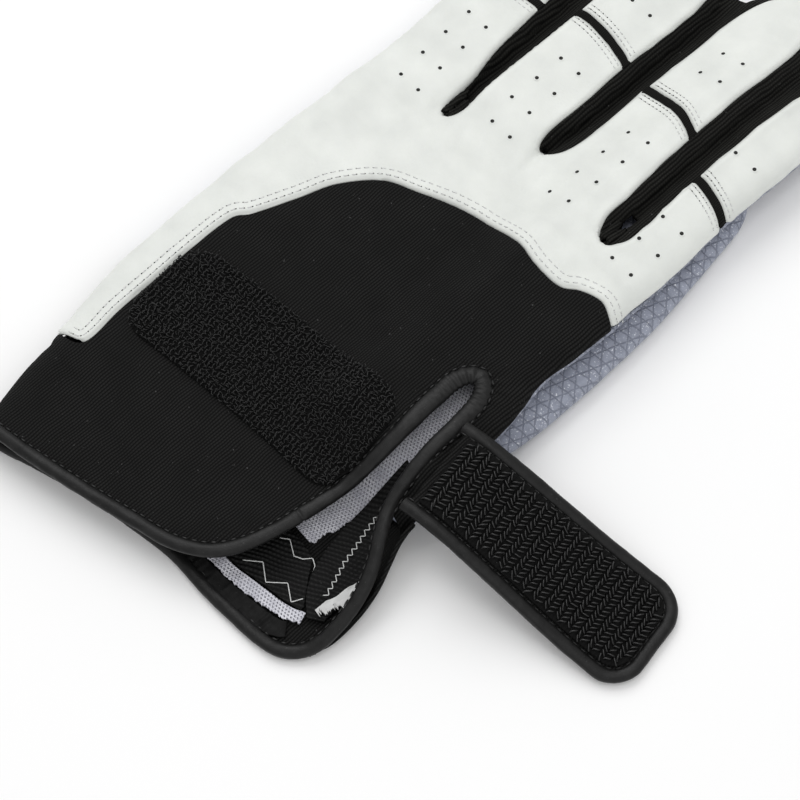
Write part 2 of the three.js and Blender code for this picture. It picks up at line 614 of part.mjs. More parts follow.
function thumbBody(inset) {
  const SIDES = 10;
  const [SQUARE_ACROSS, SQUARE_UP] = [0.6, 0.75];
  const [heel, lip] = [long(THUMB_HEEL) + inset, long(THUMB_LIP)];
  const tip = long(THUMB_HEEL) + THUMB_LENGTH - inset;
  const [bottom, height] = [inset, THUMB_THICKNESS - 2 * inset];
  const half = THUMB_WIDTH / 2 - inset;
  const centreAt = (y) => wide(lookUp(THUMB_SIDES, y / HAND_LENGTH, 1) + lookUp(THUMB_SIDES, y / HAND_LENGTH, 2)) / 2;
  // A squared ellipse between two ends of a line in the upright plane along the sleeve
  const ring = (from, to, reach) => Array.from({ length: SIDES }, (_, k) => {
    const angle = (k / SIDES) * Math.PI * 2;
    const across = Math.sign(Math.cos(angle)) * Math.abs(Math.cos(angle)) ** SQUARE_ACROSS;
    const up = (1 + Math.sign(Math.sin(angle)) * Math.abs(Math.sin(angle)) ** SQUARE_UP) / 2;
    const point = from.clone().lerp(to, up);
    return new THREE.Vector3(centreAt((from.x + to.x) / 2) + reach * across, point.x, point.y);
  });
  const rings = THUMB_TURN.map((share) => {
    const angle = share * Math.PI / 2;
    const reach = Math.min((lip - heel) * (1 - 0.25 * share), height / Math.max(Math.sin(angle), 0.01));
    const from = new THREE.Vector2(lip - reach * Math.cos(angle), bottom + height - reach * Math.sin(angle));
    return ring(from, new THREE.Vector2(lip, bottom + height), half);
  });
  const shoulder = tip - THUMB_WIDTH / 2;
  const STRAIGHT = [0.2, 0.45, 0.7, 1];
  const ROUNDING = [0.45, 0.75, 0.93, 0.995];
  const upright = (y, reach, fullness) => {
    const low = bottom + (height / 2) * (1 - fullness);
    rings.push(ring(new THREE.Vector2(y, low), new THREE.Vector2(y, low + height * fullness), reach));
  };
  for (const share of STRAIGHT) upright(THREE.MathUtils.lerp(lip, shoulder, share), half, 1);
  for (const share of ROUNDING) {
    const y = shoulder + share * (tip - shoulder);
    upright(y, half * Math.sqrt(1 - share * share), Math.sqrt(1 - share ** 4));
  }
  return loft(rings);
}

// The mouth goes through the sleeve's top and the palm above it
function thumbMouth() {
  const STEPS = 14;
  const points = Array.from({ length: STEPS }, (_, k) => {
    const angle = (k / STEPS) * Math.PI * 2;
    return new THREE.Vector2(
      wide(THUMB_MOUTH.across) + (THUMB_MOUTH.width / 2) * Math.cos(angle),
      long(THUMB_MOUTH.along) + (THUMB_MOUTH.length / 2) * Math.sin(angle),
    );
  });
  return prism(points, THUMB_THICKNESS / 2, LIFT + WALL + GAP);
}
const thumbSleeve = thumbBody(0).subtract(thumbBody(WALL)).subtract(thumbMouth());

const palmLine = [new THREE.Vector2(wide(-0.7), long(PALM_SEAM)), new THREE.Vector2(wide(0.7), long(PALM_SEAM))];
const palmOutline = [...palmLine, new THREE.Vector2(wide(0.7), long(FAR)), new THREE.Vector2(wide(-0.7), long(FAR))];

// Closure: loop patch on the cuff, strap with hooks beside the slit
const PATCH_CENTRE = [-0.045, -0.222];
const PATCH_TILT = 5;              // degrees
const PATCH_ROUND = 8;
const PATCH_ARCH = 1.4;            // how much its long sides bow toward the fingers

function roundedOutline(length, width, round, place) {
  const STEPS = 5;
  const points = [];
  const corners = [[1, 1, 0], [-1, 1, 90], [-1, -1, 180], [1, -1, 270]];
  for (const [sx, sy, start] of corners) {
    for (let i = 0; i <= STEPS; i += 1) {
      const angle = radians(start + (i / STEPS) * 90);
      const x = sx * (length / 2 - round) + round * Math.cos(angle);
      const y = sy * (width / 2 - round) + round * Math.sin(angle);
      points.push(place(x, y));
    }
  }
  return points;
}

function patchOutline() {
  const turn = radians(PATCH_TILT);
  return roundedOutline(PATCH_LENGTH, PATCH_WIDTH, PATCH_ROUND, (x, y) => {
    const bow = y + PATCH_ARCH * (1 - (2 * x / PATCH_LENGTH) ** 2);
    return new THREE.Vector2(
      wide(PATCH_CENTRE[0]) + x * Math.cos(turn) - bow * Math.sin(turn),
      long(PATCH_CENTRE[1]) + x * Math.sin(turn) + bow * Math.cos(turn),
    );
  });
}
const patchBody = handBody(-GAP - PATCH_THICKNESS).subtract(handBody(-GAP)).intersect(above)
  .intersect(prism(patchOutline(), FLOOR, SKY)).subtract(bindingRoom);

// Strap: distance from its root (share of its length), height of its underside (share of its start)
const STRAP_ROOT = [0.449, -0.152];
const STRAP_DROP = [
  [0, 1], [0.08, 1], [0.18, 0.92], [0.32, 0.74], [0.5, 0.47], [0.68, 0.22], [0.84, 0.06], [0.94, 0.0], [1.2, 0.0],
];
const STRAP_REST = (BINDING_HEIGHT - STRAP_THICKNESS) / 2 + FOOT_ROOM;     // its piping is thicker than its cloth
const strapStart = backside(wide(STRAP_ROOT[0]), long(STRAP_ROOT[1])) + STRAP_REST + 2 * GAP;
const strapTurn = radians(STRAP_ANGLE);
const strapPlace = (along, across) => new THREE.Vector2(
  wide(STRAP_ROOT[0]) + along * Math.cos(strapTurn) - across * Math.sin(strapTurn),
  long(STRAP_ROOT[1]) + along * Math.sin(strapTurn) + across * Math.cos(strapTurn),
);
const strapAlong = (x, y) => (x - wide(STRAP_ROOT[0])) * Math.cos(strapTurn)
  + (y - long(STRAP_ROOT[1])) * Math.sin(strapTurn);
const strapHeight = (along) => STRAP_REST + (strapStart - STRAP_REST) * lookUp(STRAP_DROP, along / STRAP_LENGTH, 1);

// The strap's plan, made smaller by an inset; it starts at the slit's piping
function strapOutline(inset) {
  const STEPS = 6;
  const half = (along) => STRAP_WIDTH / 2 + (STRAP_FLARE / 2) * smooth(along, 0, STRAP_LENGTH) - inset;
  const end = STRAP_LENGTH - inset;
  const round = STRAP_ROUND - inset;
  const far = end - round;
  const points = [strapPlace(0, -half(0)), strapPlace(far, -half(far))];
  for (let i = 1; i <= STEPS; i += 1) {
    const angle = radians(-90 + (i / STEPS) * 90);
    points.push(strapPlace(far + round * Math.cos(angle), -half(far) + round + round * Math.sin(angle)));
  }
  for (let i = 0; i <= STEPS; i += 1) {
    const angle = radians((i / STEPS) * 90);
    points.push(strapPlace(far + round * Math.cos(angle), half(far) - round + round * Math.sin(angle)));
  }
  points.push(strapPlace(0, half(0)));
  return points;
}

// A sheet that follows the strap's bend, between two heights above its underside
function strapSheet(inset, low, high) {
  const [SPANS, ROWS] = [11, 1];
  const rings = [];
  for (let i = 0; i <= SPANS; i += 1) {
    const along = THREE.MathUtils.lerp(-0.1, 1.05, i / SPANS) * STRAP_LENGTH;
    const upper = [];
    const lower = [];
    for (let j = 0; j <= ROWS; j += 1) {
      const across = THREE.MathUtils.lerp(-0.7, 0.7, j / ROWS) * STRAP_WIDTH;
      const place = strapPlace(along, across);
      upper.push(new THREE.Vector3(place.x, place.y, strapHeight(along) + high));
      lower.push(new THREE.Vector3(place.x, place.y, strapHeight(along) + low));
    }
    rings.push([...upper, ...lower.reverse()]);
  }
  return gridBody(rings, ROWS + 1).intersect(prism(strapOutline(inset), FLOOR, SKY));
}

function strapBindingPath() {
  const line = strapOutline(BINDING_WIDTH / 2);
  const points = line.map((p) => new THREE.Vector3(
    p.x, p.y, strapHeight(strapAlong(p.x, p.y)) + STRAP_THICKNESS / 2));
  const curve = new THREE.CatmullRomCurve3(points, false, 'centripetal');
  const STEPS = 24;
  return Array.from({ length: STEPS + 1 }, (_, i) => (
    { point: curve.getPointAt(i / STEPS), tangent: curve.getTangentAt(i / STEPS) }));
}
const strapEdge = pipe(strapBindingPath(), BINDING_WIDTH, BINDING_HEIGHT, false).subtract(bindingRoom);
const strapEdgeRoom = pipe(strapBindingPath(), BINDING_WIDTH + 2 * GAP, BINDING_HEIGHT + 2 * GAP, false);
const strapInner = BINDING_WIDTH + GAP;
const strapBody = strapSheet(BINDING_WIDTH / 2, 0, STRAP_THICKNESS).subtract(strapEdgeRoom).subtract(bindingRoom);
const hookBody = strapSheet(strapInner, STRAP_THICKNESS + GAP, STRAP_THICKNESS + GAP + HOOK_THICKNESS)
  .subtract(bindingRoom);

// Inside the open wrist: pieces that lie on the palm side
function lyingHeight(x, y) {
  if (y > long(PALM_SEAM)) return underside(x, y) + WALL + GAP;
  const key = y / HAND_LENGTH;
  const [side, rise] = [wide(lookUp(LOWER_SIDE, key, 1)), lookUp(LOWER_SIDE, key, 2)];
  const curl = CURL_SLOPE * rise * smooth(x, side - CURL, side - WALL - GAP);
  return WALL + GAP + curl + underside(x, y);
}

const closedOutline = (rows, steps) => curveThrough(plan([...rows, rows[0]]), steps).slice(0, -1);

// The lining lies on the palm all the way, so it comes from the hand's own section
function liningBody() {
  const STEPS = 20;
  const between = handBody(WALL + GAP).subtract(handBody(WALL + GAP + LINING_THICKNESS));
  return between.intersect(below).intersect(prism(closedOutline(LINING, STEPS), FLOOR, SKY));
}

function lyingPiece(rows, steps, level, thickness, frameRows = rows) {
  const CELLS = 4;
  const outline = closedOutline(rows, steps);
  const frame = plan(frameRows);
  const xs = frame.map((p) => p.x);
  const ys = frame.map((p) => p.y);
  const box = [Math.min(...xs) - 1, Math.min(...ys) - 1, Math.max(...xs) + 1, Math.max(...ys) + 1];
  const sheet = layer((x, y) => lyingHeight(x, y) + level, (x, y) => lyingHeight(x, y) + level + thickness, box, CELLS, CELLS + 1);
  return sheet.intersect(prism(outline, FLOOR, SKY)).subtract(bindingRoom);
}

const LINING = [
  [0.08, -0.30], [0.10, -0.345], [0.24, -0.352], [0.362, -0.349], [0.360, -0.31], [0.352, -0.255],
  [0.350, -0.20], [0.356, -0.14], [0.36, -0.06], [0.355, 0.01], [0.30, 0.028], [0.20, 0.03], [0.10, 0.02], [0.08, -0.1],
];
const SEAM_TAPE = [
  [0.372, -0.16], [0.405, -0.17], [0.425, -0.235], [0.462, -0.29], [0.495, -0.33], [0.512, -0.38],
  [0.512, -0.425], [0.48, -0.44], [0.43, -0.41], [0.395, -0.365], [0.378, -0.31], [0.37, -0.24],
];
const ELASTIC = [
  [0.20, -0.362], [0.29, -0.362], [0.37, -0.366], [0.41, -0.395], [0.455, -0.438], [0.36, -0.452],
  [0.26, -0.462], [0.17, -0.462], [0.17, -0.40],
];
const HEM_MESH = [
  [0.14, -0.472], [0.25, -0.472], [0.36, -0.462], [0.47, -0.450], [0.475, -0.462], [0.36, -0.476], [0.25, -0.486], [0.14, -0.488],
];
const HEM_FACING = [
  [0.10, -0.498], [0.24, -0.497], [0.36, -0.487], [0.46, -0.474], [0.475, -0.482], [0.42, -0.496], [0.30, -0.503], [0.10, -0.506],
];
const LABEL = [
  [0.505, -0.335], [0.508, -0.36], [0.505, -0.41], [0.49, -0.425], [0.475, -0.41], [0.478, -0.37], [0.485, -0.345],
];

// Cut the shells into their panels
const cuffPrism = prism([...cuffSeam, new THREE.Vector2(wide(0.62), long(-0.75)),
  new THREE.Vector2(wide(-0.62), long(-0.75))].reverse(), FLOOR, SKY);
const seamCurtain = curtain(cuffSeam);
const bandEdges = Object.fromEntries(FINGER_NAMES.map((name) => [
  name, unite([curtain(bandLine(name, 0)), curtain(bandLine(name, BAND_WIDTH))])]));
const columns = Object.fromEntries(FINGER_NAMES.map((name) => [name, prism(fingerColumn(name), FLOOR, SKY)]));
const holes = unite(FINGER_NAMES.map(perforations));

const glove = new THREE.Group();
function place(name, body, material) {
  const mesh = new THREE.Mesh(toGeometry(body), material);
  mesh.name = name;
  glove.add(mesh);
}

let backPanel = backShell.intersect(prism(backOutline, FLOOR, SKY)).subtract(seamCurtain);
for (const name of FINGER_NAMES) {
  const strip = backShell.intersect(columns[name]).subtract(bandEdges[name]);
  place(`knuckle_band_${name}`, strip.intersect(prism(bandStrip(name), FLOOR, SKY)), RIB);
  place(`finger_back_${name}`, strip.intersect(prism(beyondBand(name), FLOOR, SKY)).subtract(holes), LEATHER);
  const away = prism([...bandLine(name, 0), ...beyondBand(name).slice(-2)], FLOOR, SKY);
  backPanel = backPanel.subtract(curtain(bandLine(name, 0))).subtract(away.intersect(columns[name]));
}
place('back_leather', backPanel.subtract(holes), LEATHER);
GUSSETS.forEach((gusset, i) => place(gusset.name, seamed.intersect(gussetPrisms[i]), RIB));
place('palm_panel', palmShell.intersect(prism(palmOutline, FLOOR, SKY)).subtract(thumbMouth()), PALM_CLOTH);
place('thumb_sleeve', thumbSleeve, PALM_CLOTH);
place('cuff_panel', backShell.intersect(cuffPrism).subtract(seamCurtain).subtract(slitCut).subtract(bindingRoom), KNIT);
place('wrist_under_panel', lowerSheet().subtract(lowerCut).subtract(bindingRoom), KNIT);
place('wrist_binding', bindingBody, PIPING);
place('loop_patch', patchBody, LOOPS);
place('strap_body', strapBody, KNIT);
place('strap_binding', strapEdge, PIPING);
place('hook_patch', hookBody, HOOKS);
place('palm_lining', liningBody(), MESH_CLOTH);
place('seam_tape', lyingPiece(SEAM_TAPE, 20, 0, LINING_THICKNESS), KNIT);
place('wrist_elastic', lyingPiece(ELASTIC, 14, 0, LINING_THICKNESS), RIB);
place('hem_mesh', lyingPiece(HEM_MESH, 14, 0, LINING_THICKNESS), MESH_CLOTH);
place('hem_facing', lyingPiece(HEM_FACING, 14, 0, LINING_THICKNESS), KNIT);
place('inner_label', lyingPiece(LABEL, 9, PIECE_LIFT + 2 * GAP, LINING_THICKNESS / 2, SEAM_TAPE), TAPE);

// Stand the glove on the plane z = 0, over the middle of its own outline
const bounds = new THREE.Box3().setFromObject(glove);
const centre = bounds.getCenter(new THREE.Vector3());
glove.position.set(-centre.x, -centre.y, -bounds.min.z);
glove.updateMatrixWorld(true);

export default glove;
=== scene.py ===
"""A left-hand golf glove for wet weather, lying palm down with its closure open."""

import logging
import math
from abc import ABC, abstractmethod
from dataclasses import dataclass, field
from enum import Enum
from typing import Callable, Sequence

import bpy
import numpy as np
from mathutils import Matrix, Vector


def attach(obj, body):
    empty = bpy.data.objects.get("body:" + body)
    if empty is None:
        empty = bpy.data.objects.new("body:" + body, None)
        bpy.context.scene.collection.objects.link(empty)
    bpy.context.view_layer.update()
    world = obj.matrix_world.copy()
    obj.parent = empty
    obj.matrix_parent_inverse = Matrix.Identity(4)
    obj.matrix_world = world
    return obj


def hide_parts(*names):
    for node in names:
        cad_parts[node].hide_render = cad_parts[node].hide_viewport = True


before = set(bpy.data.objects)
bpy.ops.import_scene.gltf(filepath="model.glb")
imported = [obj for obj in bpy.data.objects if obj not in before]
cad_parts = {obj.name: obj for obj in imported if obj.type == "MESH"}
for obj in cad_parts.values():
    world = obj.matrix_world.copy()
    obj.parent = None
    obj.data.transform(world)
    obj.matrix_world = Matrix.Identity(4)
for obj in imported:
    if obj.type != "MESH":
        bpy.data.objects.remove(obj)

Array = np.ndarray
Colour = tuple[float, float, float]
Socket = bpy.types.NodeSocket
MM = 0.001
PALM_WIDTH = 100.0
HAND_LENGTH = 150.0
SHIFT = np.array([-28.348, -23.959, 0.0])  # from the hand's own frame to the model's
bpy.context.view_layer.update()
LOG = logging.getLogger("glove")


class Side(Enum):
    """The two faces of the glove."""

    BACK = 1
    PALM = -1


class Finger(Enum):
    """The four fingers, from the outside of the hand to the thumb."""

    PINKY = 0
    RING = 1
    MIDDLE = 2
    INDEX = 3


# Small helpers for lines and fields


def smooth(value: Array, low: float, high: float) -> Array:
    """Cubic step from 0 at low to 1 at high."""
    share = np.clip((np.asarray(value, float) - low) / (high - low), 0.0, 1.0)
    return share * share * (3.0 - 2.0 * share)


def plan(rows: Sequence[Sequence[float]]) -> Array:
    """Turns shares of the palm's width and the hand's length into millimetres."""
    return np.array(rows, float) * [PALM_WIDTH, HAND_LENGTH]


def along(line: Array, shares: Array) -> Array:
    """Points of a line at shares of its length.

    Args:
        line: the line's points, one row each.
        shares: shares of the length, from 0 to 1.

    Returns:
        One row for each share.
    """
    steps = np.linalg.norm(np.diff(line, axis=0), axis=1)
    reach = np.concatenate([[0.0], np.cumsum(steps)])
    target = np.asarray(shares) * reach[-1]
    return np.stack([np.interp(target, reach, line[:, k]) for k in range(line.shape[1])], axis=-1)


def evenly(line: Array, count: int) -> Array:
    """The line again, as a number of points in equal steps."""
    return along(line, np.linspace(0.0, 1.0, count))


def spline(points: Array, count: int, closed: bool = False) -> Array:
    """Catmull-Rom curve through points: between two of them it is the cubic whose slope at
    each is half the step between its neighbours.

    Args:
        points: the points, one row each.
        count: how many points come back, in equal steps.
        closed: whether the curve returns to its first point.

    Returns:
        The curve's points; a closed curve ends on its first point.
    """
    points = np.asarray(points, float)
    if closed:
        padded = np.vstack([points[-1:], points, points[:2]])
    else:
        padded = np.vstack([2 * points[0] - points[1], points, 2 * points[-1] - points[-2]])
    a, b, c, d = padded[:-3], padded[1:-2], padded[2:-1], padded[3:]
    t = np.linspace(0.0, 1.0, 20, endpoint=False)[:, None, None]
    cubic = 2 * b + (c - a) * t + (2 * a - 5 * b + 4 * c - d) * t**2 + (3 * b - a - 3 * c + d) * t**3
    dense = (cubic / 2).transpose(1, 0, 2).reshape(-1, points.shape[1])
    last = points[:1] if closed else points[-1:]
    return evenly(np.vstack([dense, last]), count)


def joined(*lines: Array) -> Array:
    """Lines put end to end, without their doubled points."""
    return np.vstack([lines[0], *[line[1:] for line in lines[1:]]])


def noise(x: Array, y: Array, seed: int) -> Array:
    """Smooth random field from -1 to 1: values on a unit lattice, blended with cubic steps."""
    table = np.random.default_rng(seed).uniform(-1.0, 1.0, (64, 64))
    i, j = np.floor(x).astype(int), np.floor(y).astype(int)
    u, v = x - i, y - j
    u, v = u * u * (3 - 2 * u), v * v * (3 - 2 * v)
    low = table[i % 64, j % 64] * (1 - u) + table[(i + 1) % 64, j % 64] * u
    high = table[i % 64, (j + 1) % 64] * (1 - u) + table[(i + 1) % 64, (j + 1) % 64] * u
    return low * (1 - v) + high * v


def distance(points: Array, line: Array) -> Array:
    """Distance in the plan from each point to the nearest point of a dense line."""
    gaps = points[:, None, :2] - line[None, :, :2]
    return np.sqrt((gaps**2).sum(axis=2).min(axis=1))


# Surfaces


def grid_faces(rows: int, cols: int, wrap: bool = False) -> Array:
    """Quads of a grid whose vertices are counted row by row; wrap joins the last column."""
    i, j = np.meshgrid(np.arange(rows - 1), np.arange(cols if wrap else cols - 1), indexing="ij")
    k = (j + 1) % cols
    quads = np.stack([i * cols + j, i * cols + k, (i + 1) * cols + k, (i + 1) * cols + j], axis=-1)
    return quads.reshape(-1, 4)


@dataclass
class Surface:
    """Points in millimetres in the hand's frame, with faces and a flat map of their own."""

    points: Array
    faces: list[Array]
    flat: Array | None = None

    @staticmethod
    def grid(points: Array, side: Side | None = None, wrap: bool = False) -> "Surface":
        """A surface from rows and columns of points.

        Args:
            points: array of rows, columns and three coordinates.
            side: turns the faces up for the back and down for the palm.
            wrap: whether the last column joins the first.

        Returns:
            The surface, with the lengths along its rows and columns as its flat map.
        """
        rows, cols = points.shape[:2]
        faces = grid_faces(rows, cols, wrap)
        across = np.zeros((rows, cols))
        across[:, 1:] = np.cumsum(np.linalg.norm(np.diff(points, axis=1), axis=2), axis=1)
        lengthwise = np.zeros((rows, cols))
        lengthwise[1:] = np.cumsum(np.linalg.norm(np.diff(points, axis=0), axis=2), axis=0)
        flat = np.stack([across, lengthwise], axis=-1).reshape(-1, 2)
        made = Surface(points.reshape(-1, 3), [faces], flat)
        if side is not None and made.normals()[:, 2].sum() * side.value < 0:
            made.faces = [faces[:, ::-1]]
        return made

    def normals(self) -> Array:
        """Unit normals of the points: the sum of the normals of the faces round each."""
        total = np.zeros_like(self.points)
        for faces in self.faces:
            corners = self.points[faces]
            one, other = corners[:, 2] - corners[:, 0], corners[:, -1] - corners[:, 1]
            normal = np.cross(one, other)
            for k in range(faces.shape[1]):
                np.add.at(total, faces[:, k], normal)
        return total / np.maximum(np.linalg.norm(total, axis=1, keepdims=True), 1e-9)

    def pressed(self, relief: Array) -> "Surface":
        """The surface with each point moved along its normal by its relief, in millimetres."""
        return Surface(self.points + self.normals() * relief[:, None], self.faces, self.flat)

    def welded(self, reach: float = 0.02) -> "Surface":
        """The surface with points closer than the reach made one, and no collapsed face."""
        keys = np.round(self.points / reach).astype(np.int64)
        _, first, place = np.unique(keys, axis=0, return_index=True, return_inverse=True)
        kept: list[Array] = []
        for faces in self.faces:
            faces = place.reshape(-1)[faces]
            same = faces == np.roll(faces, -1, axis=1)
            count = same.sum(axis=1)
            kept.append(faces[count == 0])
            if faces.shape[1] == 4:
                short = count == 1
                kept.append(faces[short][~same[short]].reshape(-1, 3))
        return Surface(self.points[first], [f for f in kept if len(f)], self.flat[first])

    @staticmethod
    def together(parts: Sequence["Surface"]) -> "Surface":
        """Several surfaces as one, without welding them."""
        faces: list[Array] = []
        start = 0
        for part in parts:
            faces += [f + start for f in part.faces]
            start += len(part.points)
        return Surface(np.vstack([p.points for p in parts]), faces, np.vstack([p.flat for p in parts]))

    def made(self, name: str, finish: "Finish", wall: float = 0.0) -> bpy.types.Object:
        """The surface as an object of the scene.

        Args:
            name: the piece's name.
            finish: what it is made of.
            wall: thickness in millimetres added on its inner side.

        Returns:
            The new object.
        """
        mesh = bpy.data.meshes.new(name)
        loops = [face for faces in self.faces for face in faces.tolist()]
        mesh.from_pydata(((self.points + SHIFT) * MM).tolist(), [], loops)
        order = np.zeros(len(mesh.loops), dtype=np.int32)
        mesh.loops.foreach_get("vertex_index", order)
        chart = mesh.uv_layers.new(name="cut")
        chart.data.foreach_set("uv", self.flat[order].ravel())
        mesh.shade_smooth()
        mesh.update()
        piece = bpy.data.objects.new(name, mesh)
        bpy.context.collection.objects.link(piece)
        mesh.materials.append(finish.material())
        if wall:
            shell = piece.modifiers.new("wall", "SOLIDIFY")
            shell.thickness = wall * MM
            shell.offset = -1.0
        return piece


def register(piece: bpy.types.Object, slot: str, *nodes: str) -> bpy.types.Object:
    """Hangs a piece on the glove and hides the nodes it stands for."""
    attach(piece, "root")
    if nodes:
        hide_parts(*nodes)
    LOG.info("%s: %d faces", piece.name, len(piece.data.polygons))
    return piece


def even_columns(points: Array, cols: int) -> Array:
    """Each row again with its points in equal steps along it.

    Args:
        points: rows, many columns, three coordinates.
        cols: how many columns come back.

    Returns:
        Rows, the asked number of columns, three coordinates.
    """
    steps = np.linalg.norm(np.diff(points, axis=1), axis=2)
    reach = np.concatenate([np.zeros((len(points), 1)), np.cumsum(steps, axis=1)], axis=1)
    target = reach[:, -1:] * np.linspace(0.0, 1.0, cols)
    index = (reach[:, :, None] <= target[:, None, :]).sum(axis=1) - 1
    index = np.clip(index, 0, points.shape[1] - 2)
    start = np.take_along_axis(reach, index, axis=1)
    span = np.maximum(np.take_along_axis(reach, index + 1, axis=1) - start, 1e-9)
    share = np.clip((target - start) / span, 0.0, 1.0)[..., None]
    low = np.take_along_axis(points, index[..., None], axis=1)
    high = np.take_along_axis(points, index[..., None] + 1, axis=1)
    return low * (1 - share) + high * share


DENSE = (1 - np.cos(np.linspace(0.0, math.pi, 121))) / 2  # shares across, close at both edges


def coons(left: Array, right: Array, first: Array, last: Array) -> Array:
    """Plan of a patch between four lines: the blend of the two sides, plus what the first and
    last lines bow away from straight, fading from one end to the other.

    Args:
        left: left side's points, one for each row.
        right: right side's points, as many.
        first: line from the left side's start to the right side's start.
        last: line between their ends.

    Returns:
        Rows, 121 columns, two coordinates.
    """
    s = DENSE[None, :, None]
    v = np.linspace(0.0, 1.0, len(left))[:, None, None]
    sides = left[:, None] * (1 - s) + right[:, None] * s
    first_bow = along(first, DENSE)[None] - (left[0] * (1 - s) + right[0] * s)
    last_bow = along(last, DENSE)[None] - (left[-1] * (1 - s) + right[-1] * s)
    return sides + (1 - v) * first_bow + v * last_bow


def straight(start: Array, end: Array) -> Array:
    """The straight line between two points."""
    return np.stack([start, end])


# Repeated small shapes


def capsule(sides: int = 6) -> Surface:
    """A rod along x from -0.5 to 0.5 with round ends and radius 0.5 in y and z."""
    places = np.array([-0.38, -0.12, 0.12, 0.38])
    radii = np.array([0.36, 0.5, 0.5, 0.36])
    angle = np.arange(sides) * 2 * math.pi / sides
    ring = np.stack([np.zeros(sides), np.cos(angle), np.sin(angle)], axis=-1)
    body = ring[None] * radii[:, None, None] + places[:, None, None] * np.array([1.0, 0.0, 0.0])
    points = np.vstack([body.reshape(-1, 3), [[-0.5, 0, 0], [0.5, 0, 0]]])
    last = 3 * sides
    j = np.arange(sides)
    k = (j + 1) % sides
    start_tip, end_tip = np.full(sides, 4 * sides), np.full(sides, 4 * sides + 1)
    tips = [np.stack([j, k, start_tip], -1), np.stack([end_tip, last + k, last + j], -1)]
    return Surface(points, [grid_faces(4, sides, True), np.vstack(tips)], points[:, :2])


def bent_rod(line: Array, radius: float, sides: int) -> Surface:
    """A thin rod along a line in the x-z plane, closed at both ends.

    Args:
        line: points of the line.
        radius: the rod's radius.
        sides: sides of its section.

    Returns:
        The rod.
    """
    slope = np.gradient(line, axis=0)
    slope /= np.linalg.norm(slope, axis=1, keepdims=True)
    rise = np.stack([-slope[:, 2], np.zeros(len(line)), slope[:, 0]], axis=-1)
    angle = np.arange(sides) * 2 * math.pi / sides
    ring = np.cos(angle)[None, :, None] * np.array([0.0, 1.0, 0.0])
    ring = ring + np.sin(angle)[None, :, None] * rise[:, None]
    points = (line[:, None] + radius * ring).reshape(-1, 3)
    ends = [np.arange(sides)[None], np.arange(sides)[::-1][None] + (len(line) - 1) * sides]
    return Surface(points, [grid_faces(len(line), sides, True)[:, ::-1], np.vstack(ends)], points[:, :2])


def repeated(shape: Surface, places: Array, axes: Array, sizes: Array) -> Surface:
    """Many copies of a small shape as one surface.

    Args:
        shape: the shape.
        places: the centre of each copy.
        axes: three unit vectors for each copy, where its x, y and z point.
        sizes: its length along each of them.

    Returns:
        The copies together.
    """
    scaled = shape.points[None] * sizes[:, None, :]
    points = np.einsum("mni,mij->mnj", scaled, axes) + places[:, None]
    step = np.arange(len(places))[:, None, None] * len(shape.points)
    faces = [(f[None] + step).reshape(-1, f.shape[1]) for f in shape.faces]
    return Surface(points.reshape(-1, 3), faces, np.tile(shape.flat, (len(places), 1)))


def thread_run(line: Array, up: Array, pitch: float, size: tuple[float, float, float]) -> Surface:
    """A run of stitches along a line: rods end to end with gaps between them.

    Args:
        line: points of the line.
        up: a direction away from the cloth for each point.
        pitch: from one stitch to the next.
        size: length, width and height of a stitch.

    Returns:
        All stitches.
    """
    length = np.linalg.norm(np.diff(line, axis=0), axis=1).sum()
    count = max(int(length / pitch), 2)
    shares = (np.arange(count) + 0.5) / count
    both = along(np.hstack([line, up]), shares)
    slope = along(
        line, np.minimum(shares + 0.2 / count, 1)
    ) - along(line, np.maximum(shares - 0.2 / count, 0))
    slope /= np.maximum(np.linalg.norm(slope, axis=1, keepdims=True), 1e-9)
    side = np.cross(both[:, 3:], slope)
    side /= np.maximum(np.linalg.norm(side, axis=1, keepdims=True), 1e-9)
    rise = np.cross(slope, side)
    axes = np.stack([slope, side, rise], axis=1)
    return repeated(capsule(), both[:, :3], axes, np.tile(np.array(size), (count, 1)))


def pipe(path: Array, width: Array, height: Array, closed: bool, ripple: Array, sides: int = 20) -> Surface:
    """Piping along a path: an oval section, carried along it and made a little fuller where
    its ripple is high.

    Args:
        path: points of its middle.
        width: its width at each point.
        height: its height at each point.
        closed: whether it is a ring.
        ripple: added radius for each point of the path and each side, in millimetres.
        sides: sides of the section.

    Returns:
        The piping; an open one has round closed ends.
    """
    if closed:
        slope = np.roll(path, -1, axis=0) - np.roll(path, 1, axis=0)
    else:
        slope = np.gradient(path, axis=0)
    slope /= np.linalg.norm(slope, axis=1, keepdims=True)
    side = np.cross([0.0, 0.0, 1.0], slope)
    side /= np.linalg.norm(side, axis=1, keepdims=True)
    rise = np.cross(slope, side)
    angle = np.arange(sides) * 2 * math.pi / sides
    wide = (width[:, None] / 2 + ripple) * np.cos(angle)
    tall = (height[:, None] / 2 + ripple) * np.sign(np.sin(angle)) * np.abs(np.sin(angle)) ** 0.85
    points = path[:, None] + wide[..., None] * side[:, None] + tall[..., None] * rise[:, None]
    if closed:
        points = np.concatenate([points, points[:1]])
    else:
        start, end = path[0] - slope[0] * 0.4, path[-1] + slope[-1] * 0.4
        points = np.concatenate([np.tile(start, (1, sides, 1)), points, np.tile(end, (1, sides, 1))])
    made = Surface.grid(points, None, True)
    made.faces = [made.faces[0][:, ::-1]]
    return made.welded()


# Node groups and finishes


